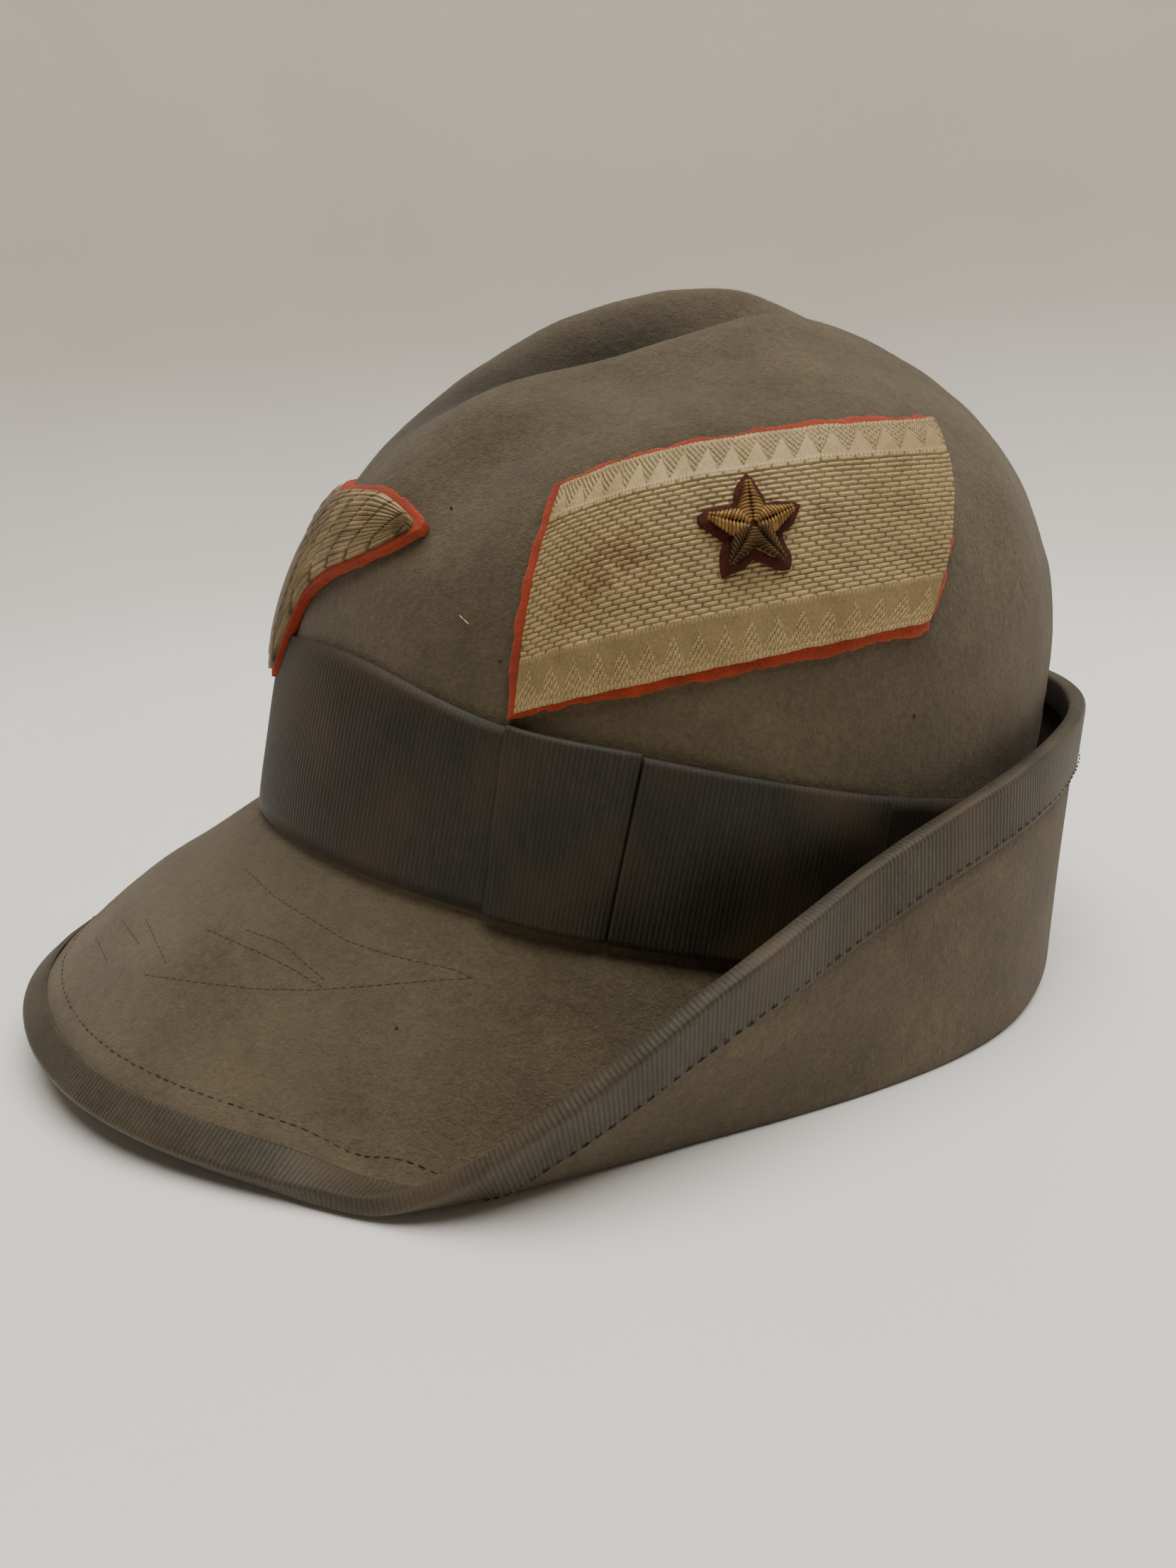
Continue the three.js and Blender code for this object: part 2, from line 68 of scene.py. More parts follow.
# angle from the front, then shares of brim_width in the order of the names below the table
BRIM = np.array([
    (0, 0.48, 0.42, 0.78, 0.17, 0.3),
    (20, 0.46, 0.39, 0.73, 0.125, 0.3),
    (40, 0.42, 0.22, 0.635, 0.074, 0.25),
    (50, 0.5, 0.09, 0.605, 0.056, 0.18),
    (56, 0.565, 0.03, 0.6, 0.063, 0.14),
    (63, 0.49, 0.03, 0.573, 0.15, 0.12),
    (70, 0.387, 0.03, 0.53, 0.29, 0.09),
    (85, 0.235, 0.03, 0.353, 0.536, 0.09),
    (105, 0.165, 0.03, 0.1, 0.7, 0.08),
    (130, 0.165, 0.03, 0.03, 0.84, 0.08),
    (155, 0.135, 0.03, 0.02, 0.88, 0.08),
    (180, 0.1, 0.03, 0.03, 0.88, 0.08),
])
FOLD_OUT, FOLD_UP, EDGE_OUT, EDGE_UP, ROUND = range(1, 6)
# place across, along and up the crown, spread across, along and up, depth: shares of its sizes
DENTS = [
    (-0.1, 0.08, 1.0, 0.6, 0.65, 0.4, -0.03),
    (0.04, -0.36, 0.97, 0.13, 0.5, 0.3, 0.11),
    (0.42, -0.32, 0.93, 0.34, 0.48, 0.3, 0.09),
    (-0.2, -0.3, 0.96, 0.13, 0.42, 0.22, -0.012),
    (0.45, 0.24, 0.93, 0.22, 0.2, 0.12, 0.012),
    (0.64, -0.02, 0.88, 0.15, 0.34, 0.09, 0.01),
    (0.5, -0.66, 0.66, 0.2, 0.16, 0.13, 0.03),
    (0.36, -0.72, 0.74, 0.13, 0.14, 0.08, -0.02),
    (-0.5, -0.66, 0.68, 0.2, 0.16, 0.14, 0.02),
    (0.68, 0.52, 0.66, 0.12, 0.1, 0.22, -0.013),
    (0.5, 0.72, 0.5, 0.2, 0.14, 0.2, 0.01),
]
# angle from the front, top of the ribbon as a share of band_height
RISE = np.array([(0, 1.04), (30, 1.1), (57, 0.97), (75, 0.97), (105, 0.95), (180, 0.95)])
# angle from the front, low and high edge of the badge as shares of crown_height
BADGE = np.array([
    (0, 0.235, 0.548), (4, 0.245, 0.556), (8, 0.318, 0.562), (12, 0.385, 0.567), (18, 0.428, 0.573),
    (23, 0.45, 0.574), (28, 0.476, 0.563), (32, 0.502, 0.549), (35, 0.523, 0.536),
])


def mix(a, b, t):
    return a + (b - a) * t


def smooth(a, b, v):
    t = np.clip((v - a) / (b - a), 0, 1)
    return t * t * (3 - 2 * t)


def column(rows, k, degrees):
    """A table's column over the angle from the front, smooth and the same left and right."""
    x, y = rows[:, 0], rows[:, k]
    a = np.abs((np.asarray(degrees, float) + 180) % 360 - 180)
    slope = np.zeros(len(x))
    slope[1:-1] = (y[2:] - y[:-2]) / (x[2:] - x[:-2])
    i = np.clip(np.searchsorted(x, a, side="right") - 1, 0, len(x) - 2)
    w = x[i + 1] - x[i]
    t = (a - x[i]) / w
    return (
        (1 + 2 * t) * (1 - t) ** 2 * y[i]
        + t * (1 - t) ** 2 * w * slope[i]
        + t * t * (3 - 2 * t) * y[i + 1]
        + t * t * (t - 1) * w * slope[i + 1]
    )


def unit(v):
    return v / np.maximum(np.linalg.norm(v, axis=-1, keepdims=True), 1e-12)


def travelled(points):
    """Length of a line of points up to each of them."""
    return np.concatenate([[0], np.cumsum(np.linalg.norm(np.diff(points, axis=0), axis=1))])


def along_line(at, run, values):
    """Rows of three values at given lengths along a line."""
    return np.stack([np.interp(at, run, values[:, i]) for i in range(3)], -1)


def blob(s, t, at_s, at_t, wide, tall):
    """A soft round rise to 1 at a place across and down a strip."""
    return np.exp(-((s - at_s) / wide) ** 2 - ((t - at_t) / tall) ** 2)


def outward(deg):
    """Level direction square to the crown's foot at each angle from the front."""
    t = np.radians(deg)
    c, s = np.cos(t), np.sin(t)
    ax = half_width * (c * (1 - front_narrowing * c) + front_narrowing * s * s)
    return unit(np.stack([half_length * s, -ax, 0 * s], -1))


def crown_point(deg, share):
    """Crown's outer side by angle and share of its height."""
    deg, share = np.broadcast_arrays(np.asarray(deg, float), np.asarray(share, float))
    t = np.radians(deg)
    c, s = np.cos(t), np.sin(t)
    u = np.clip(share, -0.05, 0.99995)
    rise = np.maximum(u, 0)
    ends = np.where(c > 0, (1 - rise ** FRONT[0]) ** (1 / FRONT[1]), (1 - rise ** BACK[0]) ** (1 / BACK[1]))
    side = (1 - rise ** SIDE[0]) ** (1 / SIDE[1])
    x = half_width * side * s * (1 - front_narrowing * c)
    y = -half_length * ends * c + apex_shift * (1 - ends)
    h = crown_height * u
    p = np.stack([
        x,
        y * math.cos(tilt) + h * math.sin(tilt),
        back_height + half_length * math.sin(tilt) - y * math.sin(tilt) + h * math.cos(tilt),
    ], -1)
    push = 0
    for at_x, at_y, at_u, wide, long, tall, depth in DENTS:
        e = ((x / half_width - at_x) / wide) ** 2 + ((y / half_length - at_y) / long) ** 2
        e = e + ((u - at_u) / tall) ** 2
        push = push + depth * crown_height * np.exp(-e)
    level = 1 - rise ** 4
    axis = np.array([0, math.sin(tilt), math.cos(tilt)])
    away = unit(outward(deg) * level[..., None] + axis * (1 - level[..., None]))
    return p - away * push[..., None]


def on_crown(deg, share, lift):
    """Crown's outer side, lifted square to it."""
    deg, share = np.broadcast_arrays(np.asarray(deg, float), np.asarray(share, float))
    step = np.where(share > 0.97, 4, 0.5)
    across = crown_point(deg + step, share) - crown_point(deg - step, share)
    along = crown_point(deg, share + 0.004) - crown_point(deg, share - 0.004)
    n = unit(np.cross(across, along))
    return crown_point(deg, share) + n * np.asarray(lift, float)[..., None]


def section(deg):
    """Foot, fold and edge of the brim's upper side at each angle."""
    foot = crown_point(deg, 0 * deg)
    get = lambda k: column(BRIM, k, deg) * brim_width
    ez = get(EDGE_UP)
    share = 0 * deg
    for _ in range(6):
        share = np.clip(share + (ez - crown_point(deg, share)[..., 2]) / crown_height, 0, 0.75)
    out = outward(deg)
    wall = ((crown_point(deg, share) - foot) * out).sum(-1)
    s = {
        "foot": foot, "out": out,
        "eo": wall + wall_clearance + get(EDGE_OUT), "ez": ez,
        "fo": wall_clearance * 0.4 + get(FOLD_OUT), "fz": get(FOLD_UP),
    }
    rests = smooth(44, 54, np.abs((deg + 540) % 360 - 180))

    def measure():
        s["first"] = np.hypot(s["fo"], s["fz"] - foot[..., 2])
        s["second"] = np.hypot(s["eo"] - s["fo"], s["ez"] - s["fz"])
        s["round"] = np.minimum.reduce([get(ROUND), 0.45 * s["first"], 0.45 * s["second"]])

    measure()
    free = s["fz"]
    for _ in range(5):
        low = np.full(deg.shape, 1e9)
        for i in range(9):
            d = s["first"] + (i / 4 - 1) * s["round"]
            p, q = section_at(s, d), section_at(s, d + 0.01)
            slant = (q[0] - p[0]) / np.hypot(q[0] - p[0], q[1] - p[1])
            low = np.minimum(low, p[1] - felt * slant)
        covered = 1 - smooth(outer_leaf + 3, outer_leaf + 9, s["second"])
        wanted = mix(-rest_press, binding_stack + 0.4 * gap, covered)
        s["fz"] = s["fz"] + wanted - low
        measure()
    s["fz"] = mix(free, s["fz"], rests)
    measure()
    s["length"] = s["first"] + s["second"]
    return s


def section_at(s, distance):
    """Reach out and height of the brim's section at a distance from its foot."""
    f, g, r = s["first"], s["second"], np.maximum(s["round"], 1e-6)
    ao, az = s["fo"] / f, (s["fz"] - s["foot"][..., 2]) / f
    bo, bz = (s["eo"] - s["fo"]) / g, (s["ez"] - s["fz"]) / g
    d = distance - f
    t = np.clip((d + r) / (2 * r), 0, 1)
    lo, hi = -((1 - t) ** 2) * r, t * t * r
    o = np.where(d <= -r, ao * distance, np.where(d >= r, s["fo"] + bo * d, s["fo"] + ao * lo + bo * hi))
    z0 = s["foot"][..., 2]
    z = np.where(d <= -r, z0 + az * distance, np.where(d >= r, s["fz"] + bz * d, s["fz"] + az * lo + bz * hi))
    return o, z


def brim_place(s, back):
    """Brim's upper side at a distance back from its edge."""
    o, z = section_at(s, s["length"] - back)
    p = s["foot"] + s["out"] * o[..., None]
    p[..., 2] = z
    return p


def brim_frame(mid, more, less, back):
    """Place, direction square to the brim and direction along its section, from the sections about an angle."""
    across = brim_place(more, back) - brim_place(less, back)
    along = brim_place(mid, back + 0.2) - brim_place(mid, back - 0.2)
    return brim_place(mid, back), unit(np.cross(across, along)), unit(along)


def brim_point(deg, back, lift):
    """Brim's upper side at a distance back from its edge, lifted square to it."""
    deg = np.asarray(deg, float)
    p, n, _ = brim_frame(section(deg), section(deg + 0.5), section(deg - 0.5), back)
    return p + n * np.broadcast_to(np.asarray(lift, float), p.shape[:-1])[..., None]


# The frame's origin lies under the middle of the hat
BINDING_NOSE = [
    (0, -felt - binding_stack), (-binding_stack, -felt - gap), (-binding_stack, gap), (0, binding_stack),
]
tip = min(brim_point(np.array([0.0]), back, lift)[0, 1] for back, lift in BINDING_NOSE)
SHIFT = np.array([0, float(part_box("brim_binding")[0][1]) * 1000 - tip, 0])


def waves(p, size, seed, count=18):
    """Smooth random swelling of about plus or minus one, with features of a given size."""
    r = np.random.default_rng(seed)
    k = unit(r.normal(size=(count, 3))) * r.uniform(0.6, 1.6, (count, 1)) * 2 * math.pi / size
    phase = r.uniform(0, 2 * math.pi, count)
    flat = p.reshape(-1, 3)
    out = np.zeros(len(flat))
    for i in range(count):
        out += np.sin(flat @ k[i] + phase[i])
    return (out / math.sqrt(count / 2) / 1.6).reshape(p.shape[:-1])


def swell(p):
    """Soft unevenness of the felt's surface."""
    return np.clip(waves(p, 34, 3) * 0.32 + waves(p, 13, 4) * 0.09 + waves(p, 4.5, 5) * 0.03, -0.28, 0.28)


def make(name, points, faces, material, nodes=(), tone=None, stain=None):
    """A piece of the object from points in millimetres and quads or triangles."""
    mesh = bpy.data.meshes.new(name)
    pts = (points.reshape(-1, 3) + SHIFT) / 1000
    mesh.vertices.add(len(pts))
    mesh.vertices.foreach_set("co", pts.astype(np.float32).ravel())
    faces = np.asarray(faces)
    count, side = faces.shape
    mesh.loops.add(count * side)
    mesh.loops.foreach_set("vertex_index", faces.astype(np.int32).ravel())
    mesh.polygons.add(count)
    mesh.polygons.foreach_set("loop_start", np.arange(count, dtype=np.int32) * side)
    mesh.polygons.foreach_set("use_smooth", np.ones(count, bool))
    mesh.update(calc_edges=True)
    for label, values in (("tone", tone), ("stain", stain)):
        a = mesh.attributes.new(label, "FLOAT", "POINT")
        v = np.ones(len(pts)) if label == "tone" else np.zeros(len(pts))
        if values is not None:
            v = values.reshape(-1)
        a.data.foreach_set("value", v.astype(np.float32))
    mesh.materials.append(material)
    o = bpy.data.objects.new(name, mesh)
    bpy.context.scene.collection.objects.link(o)
    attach(o, "root")
    if nodes:
        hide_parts(*nodes)
    return o


def grid_faces(rows, cols, ring, start=0, flip=False):
    """Quads of a grid of points, closed across its columns where it is a ring."""
    i = np.arange(rows - 1)[:, None]
    j = np.arange(cols if ring else cols - 1)[None, :]
    k = (j + 1) % cols
    q = np.stack(np.broadcast_arrays(i * cols + j, (i + 1) * cols + j, (i + 1) * cols + k, i * cols + k), -1)
    q = q.reshape(-1, 4) + start
    return q[:, ::-1] if flip else q


def skirted(grid, low, ring):
    """A grid with its rim carried down to a lower grid's rim: points, faces and the order of the source."""
    rows, cols = grid.shape[:2]
    ids = np.arange(rows * cols).reshape(rows, cols)
    if ring:
        rims = [ids[0][::-1], ids[-1]]
    else:
        rims = [np.concatenate([ids[0, ::-1], ids[1:, 0], ids[-1, 1:], ids[-2:0:-1, -1]])]
    pts = [grid.reshape(-1, 3)]
    src = [ids.reshape(-1)]
    faces = [grid_faces(rows, cols, ring)]
    n = rows * cols
    for rim in rims:
        m = len(rim)
        pts.append(low.reshape(-1, 3)[rim])
        src.append(rim)
        k = np.arange(m)
        nxt = (k + 1) % m
        faces.append(np.stack([rim[k], n + k, n + nxt, rim[nxt]], -1))
        n += m
    return np.concatenate(pts), np.concatenate(faces), np.concatenate(src)


# Materials


def ramp(nt, factor, stops):
    r = nt.nodes.new("ShaderNodeValToRGB")
    e = r.color_ramp.elements
    e[0].position, e[0].color = stops[0][0], (*stops[0][1], 1)
    e[1].position, e[1].color = stops[-1][0], (*stops[-1][1], 1)
    for pos, col in stops[1:-1]:
        n = e.new(pos)
        n.color = (*col, 1)
    nt.links.new(factor, r.inputs[0])
    return r.outputs[0]


def mixed(nt, kind, factor, a, b):
    m = nt.nodes.new("ShaderNodeMix")
    m.data_type = "RGBA"
    m.blend_type = kind
    for socket, value in ((m.inputs[0], factor), (m.inputs[6], a), (m.inputs[7], b)):
        if isinstance(value, bpy.types.NodeSocket):
            nt.links.new(value, socket)
        elif isinstance(value, tuple):
            socket.default_value = (*value, 1)
        else:
            socket.default_value = value
    return m.outputs[2]


def noise(nt, coord, scale, detail, rough):
    n = nt.nodes.new("ShaderNodeTexNoise")
    n.inputs["Scale"].default_value = scale
    n.inputs["Detail"].default_value = detail
    n.inputs["Roughness"].default_value = rough
    nt.links.new(coord, n.inputs["Vector"])
    return n.outputs["Fac"]


def attribute(nt, name):
    n = nt.nodes.new("ShaderNodeAttribute")
    n.attribute_name = name
    return n


def bumped(nt, height, strength, distance, under=None):
    """Normal of a bump, laid over another one where there is one."""
    n = nt.nodes.new("ShaderNodeBump")
    n.inputs["Strength"].default_value = strength
    n.inputs["Distance"].default_value = distance
    nt.links.new(height, n.inputs["Height"])
    if under is not None:
        nt.links.new(under, n.inputs["Normal"])
    return n.outputs[0]

def surface(name, low, high, rough, broad, fine, bump, bump_size, sheen=0.0, metal=0.0, stain=(0.1, 0.05, 0.02),
            nap=None):
    """Procedural cloth: two colours mixed by broad noise, mottling, tone and stain from the mesh, and bump."""
    mat = bpy.data.materials.new(name)
    mat.use_nodes = True
    nt = mat.node_tree
    b = nt.nodes["Principled BSDF"]
    coord = nt.nodes.new("ShaderNodeTexCoord").outputs["Object"]
    big = ramp(nt, noise(nt, coord, broad, 5, 0.6), [(0.25, low), (0.75, high)])
    small = ramp(nt, noise(nt, coord, fine, 3, 0.7), [(0.3, (0.72, 0.72, 0.72)), (0.7, (1.26, 1.26, 1.26))])
    color = mixed(nt, "MULTIPLY", 0.8, big, small)
    # the mesh's tone holds random mottling and, on several pieces, painted shade and highlight
    color = mixed(nt, "MULTIPLY", 1.0, color, attribute(nt, "tone").outputs["Color"])
    color = mixed(nt, "MIX", attribute(nt, "stain").outputs["Fac"], color, stain)
    nt.links.new(color, b.inputs["Base Color"])
    b.inputs["Roughness"].default_value = rough
    b.inputs["Metallic"].default_value = metal
    b.inputs["Sheen Weight"].default_value = sheen
    b.inputs["Sheen Roughness"].default_value = 0.5
    b.inputs["Specular IOR Level"].default_value = 0.3
    normal = bumped(nt, noise(nt, coord, bump_size, 4, 0.7), bump, 0.0006)
    if nap is not None:
        normal = bumped(nt, noise(nt, coord, nap, 2, 0.5), 0.35, 0.0012, normal)
    nt.links.new(normal, b.inputs["Normal"])
    return mat


FELT = surface("felt", (0.077, 0.0595, 0.0335), (0.12, 0.094, 0.055), 0.95, 26, 900, 0.9, 1500,
               sheen=0.12, stain=(0.135, 0.106, 0.063), nap=330)
RIBBON = surface("ribbon", (0.0175, 0.014, 0.0085), (0.03, 0.0245, 0.0155), 0.5, 30, 700, 0.3, 2500,
                 sheen=0.05, stain=(0.05, 0.034, 0.018))
BINDING = surface("binding", (0.038, 0.031, 0.0185), (0.062, 0.0505, 0.031), 0.5, 22, 800, 0.3, 2500,
                  sheen=0.05, stain=(0.075, 0.053, 0.028))
RED = surface("red_felt", (0.24, 0.028, 0.009), (0.36, 0.05, 0.016), 0.9, 60, 1500, 0.6, 2500, sheen=0.1)
DARK_RED = surface("dark_red_felt", (0.04, 0.008, 0.005), (0.075, 0.014, 0.008), 0.9, 90, 1800, 0.6, 2500)
LACE = surface("lace", (0.29, 0.205, 0.093), (0.42, 0.307, 0.147), 0.38, 40, 1600, 0.25, 4000,
               metal=0.2, stain=(0.13, 0.06, 0.02))
BRONZE = surface("bronze_bullion", (0.1, 0.05, 0.014), (0.33, 0.19, 0.06), 0.36, 160, 2600, 0.3, 5000,
                 metal=0.6)
SILVER = surface("silver_bullion", (0.16, 0.11, 0.055), (0.42, 0.31, 0.165), 0.38, 120, 2400, 0.3, 5000,
                 metal=0.4, stain=(0.05, 0.025, 0.012))
THREAD = surface("thread", (0.026, 0.021, 0.0135), (0.048, 0.039, 0.026), 0.7, 300, 3000, 0.2, 6000)


# The felt: crown and brim in one
BRIM_STEPS = 70
CORNER_PULL = 3.168


def felt_piece():
    """Both sides of the felt; gives back its upper side and the rows that belong to the crown."""
    ang = np.linspace(0, 360, 421)[:-1]
    # finer columns towards the front and the back of the brim
    ang = ang - CORNER_PULL * np.sin(np.radians(2 * ang))
    deg = ang[None, :]
    shares = np.sin(np.linspace(math.pi / 2 * 0.995, 0.06, 84)) ** 0.62
    shares = np.concatenate([shares[shares > 0.2], np.linspace(0.19, base_round / crown_height, 14)])

    def side(lift):
        top = on_crown(deg, shares[:, None], np.full((len(shares), len(ang)), lift))
        level = np.full(deg.shape, lift)
        sec = section(deg)
        corner = mix(on_crown(deg, 0 * deg, level), brim_point(deg, sec["length"], lift), 0.5)
        wall = on_crown(deg, 0 * deg + base_round / crown_height, level)
        floor = brim_point(deg, sec["length"] - base_round, lift)
        t = np.linspace(0.15, 0.85, 5)[:, None, None]
        bend = wall * (1 - t) ** 2 + corner * 2 * t * (1 - t) + floor * t * t
        w = np.linspace(0, 1, BRIM_STEPS)[:, None]
        brim = brim_point(deg, (sec["length"] - base_round) * (1 - w), lift)
        return np.concatenate([top, bend, brim])

    upper, lower = side(0.0), side(-felt)
    # no swelling where the crown bends into the brim, under the ribbon
    fade = np.ones(upper.shape[:2])
    n_crown = len(shares)
    fade[n_crown - 16:n_crown + 6] = 0
    upper = upper + unit(upper - lower) * (swell(upper) * fade)[..., None]
    lower[..., 2] = np.maximum(lower[..., 2], 0)
    rows, cols = upper.shape[:2]
    n = rows * cols
    e = rows - 1
    j = np.arange(cols)
    k = (j + 1) % cols
    rim = np.stack([e * cols + j, n + e * cols + j, n + e * cols + k, e * cols + k], -1)
    faces = np.concatenate([grid_faces(rows, cols, True), grid_faces(rows, cols, True, n, True), rim])
    cap = np.concatenate([
        np.stack([np.full(cols, 2 * n), j, k], -1), np.stack([np.full(cols, 2 * n + 1), n + k, n + j], -1),
    ])
    pts = np.concatenate([upper.reshape(-1, 3), lower.reshape(-1, 3), [upper[0].mean(0), lower[0].mean(0)]])
    # tone: painted shade in the groove on top, over random mottling; stain: worn light on the visor, yellowed
    # at the back of the brim
    x, y = upper[..., 0] / half_width, upper[..., 1] / half_length
    high = smooth(0.75, 0.95, upper[..., 2] / 165)
    # painted shade: the felt is darkened along the groove's far wall on top, in front
    painted_groove_shade = high * np.exp(-((x - 0.01) / 0.13) ** 2) * smooth(-1.0, -0.6, y) * (1 - smooth(0.0, 0.45, y))
    mottled = 1 + 0.07 * waves(upper, 26, 11) + 0.04 * waves(upper, 7, 12) + 0.03 * waves(upper, 2.6, 13)
    outer_tone = mottled * (1 - 0.7 * painted_groove_shade)
    inner_tone = mottled * (1 + 0.05 * waves(lower, 12, 15))
    on_brim = np.arange(rows)[:, None] >= n_crown + 5
    front = np.exp(-(((ang + 180) % 360 - 180) / 62.0)[None, :] ** 4)
    worn = on_brim * front * np.clip(0.3 + 0.22 * waves(upper, 30, 21) + 0.12 * waves(upper, 5, 22), 0, 0.6)
    yellow = np.exp(-((lower[..., 1] - 110) / 22) ** 2) * smooth(10, 60, lower[..., 2]) * on_brim * 0.25
    tone = np.concatenate([outer_tone.reshape(-1), inner_tone.reshape(-1), [1, 1]])
    stain = np.concatenate([worn.reshape(-1), yellow.reshape(-1), [0, 0]])
    make("felt_shell", pts, faces, FELT, ("felt_body",), tone, stain)
    make("felt_shell_top", pts, cap, FELT, ("felt_body",), tone, stain)
    return upper, n_crown


felt_upper, crown_rows = felt_piece()


# Ribbon: ribs are real ridges
RIB_HEIGHT = 0.16
BAND_PITCH, RIB_PITCH = 1.15, 1.12
RIB_SHARE = 0.15


def rib(v):
    """Ridge profile of a grosgrain rib: 0 in the valley, 1 on top."""
    return np.abs(np.sin(np.pi * v)) ** 0.7


def band_share(deg, t):
    foot = base_round * 0.85 / crown_height
    return mix(foot, band_height * column(RISE, 1, deg) / crown_height, t)


def ribbon_grid(ang, rows, lift, ribs_at, name, nodes, ring, place=None, extra=None):
    deg = ang[None, :]
    t = np.linspace(1, 0, rows)[:, None]
    a, s = (deg + 0 * t, band_share(deg, t)) if place is None else place(deg, t)
    base = on_crown(a, s, np.zeros(a.shape))
    ridges = rib(ribs_at)[None, :] + 0 * t
    selvedge = smooth(0.035, 0.0, np.minimum(t, 1 - t)) + 0 * deg
    ridges = mix(ridges, 0.6 + 0 * ridges, selvedge)
    body = lift + ridges * RIB_HEIGHT + waves(base, 30, 31) * 0.1
    if extra is not None:
        body = body + extra(deg, t)
    top = on_crown(a, s, body)
    low = on_crown(a, s, np.full(a.shape, gap * 0.4))
    streaks = waves(base * np.array([1, 1, 0.2]), 3, 33)
    # tone: painted shade in the valleys between the ribs, lighter along the selvedges, with random mottling and
    # streaks
    tone = (0.48 + 0.68 * ridges) * (1 + 0.13 * waves(base, 24, 32) + 0.08 * streaks)
    tone = tone * mix(1.0, 1.35, selvedge)
    stain = np.clip(0.15 + 0.5 * waves(base, 28, 34), 0, 0.7)
    pts, faces, src = skirted(top, low, ring)
    return make(name, pts, faces, RIBBON, nodes, tone.reshape(-1)[src], stain.reshape(-1)[src])


def even_ribs(points, angles, pitch, per):
    """Angles at even steps along a line of points, and the count of ribs at each."""
    run = travelled(points)
    ribs = max(2, round(run[-1] / pitch))
    v = np.linspace(0, ribs, ribs * per + 1)
    return np.interp(v / ribs * run[-1], run, angles), v


def crown_ribs(start, end, pitch, per):
    fine = np.linspace(start, end, 2000)
    return even_ribs(crown_point(fine, 0 * fine + RIB_SHARE), fine, pitch, per)


ang, v = crown_ribs(0, 360, BAND_PITCH, 5)
ribbon_grid(ang[:-1], 14, gap + band_thickness - 0.1, v[:-1], "ribbon_band", ("hat_band",), True)

band_lift = 2 * gap + band_thickness
KNOT_LEFT, KNOT_LEFT_LOW, KNOT_RIGHT = 57.2, 58.8, 74.0


def knot_across(deg):
    return (deg - KNOT_LEFT) / (KNOT_RIGHT - KNOT_LEFT)


def knot_place(deg, t):
    a = mix(mix(KNOT_LEFT, KNOT_LEFT_LOW, 1 - t), KNOT_RIGHT, knot_across(deg))
    return a, band_share(a, 1.015 * t)


def knot_puff(deg, t):
    s = knot_across(deg)
    edge = np.clip(np.minimum(s, 1 - s) * 9, 0, 1)
    puff = 0.62 + 0.38 * np.sqrt(np.sin(np.pi * np.clip(mix(0.03, 0.97, s), 0, 1)))
    sag = 0.3 * blob(s, t, 0.7, 0.75, 0.2, 0.2)
    sag = sag - 0.35 * blob(s, t, 0.55, 0.4, 0.2, 0.16) * np.sin(np.pi * t) * np.sin(np.pi * s)
    sag = sag + 0.18 * np.exp(-((t - 0.78 + 0.12 * s) / 0.05) ** 2)
    return knot_thickness * (puff - 0.25 * (1 - edge) ** 2) - RIB_HEIGHT + sag


ang, v = crown_ribs(KNOT_LEFT, KNOT_RIGHT, RIB_PITCH, 6)
ribbon_grid(ang, 34, band_lift, v, "bow_knot", ("band_knot",), False, knot_place, knot_puff)

TAIL_LEFT = KNOT_RIGHT + gap / half_width * 58
TAIL_RIGHT, TAIL_END_TOP, TAIL_END_LOW = 106.0, 105.5, 107.0


def tail_across(deg):
    return (deg - TAIL_LEFT) / (TAIL_RIGHT - TAIL_LEFT)


def tail_place(deg, t):
    a = mix(TAIL_LEFT, mix(TAIL_END_TOP, TAIL_END_LOW, 1 - t), tail_across(deg))
    return a, band_share(a, t)


def tail_dents(deg, t):
    s = tail_across(deg)
    dip = 0.6 * blob(s, t, 0.26, 0.72, 0.16, 0.22) - 0.6 * blob(s, t, 0.4, 0.35, 0.12, 0.3)
    dip = dip + 0.5 * blob(s, t, 0.82, 0.78, 0.14, 0.2)
    return tail_thickness - 0.1 + dip + 0.5 * np.exp(-(s / 0.05) ** 2)


ang, v = crown_ribs(TAIL_LEFT, TAIL_RIGHT, RIB_PITCH, 5)
ribbon_grid(ang, 26, band_lift, v, "bow_tail", ("band_tail",), False, tail_place, tail_dents)


# Binding over the brim's edge


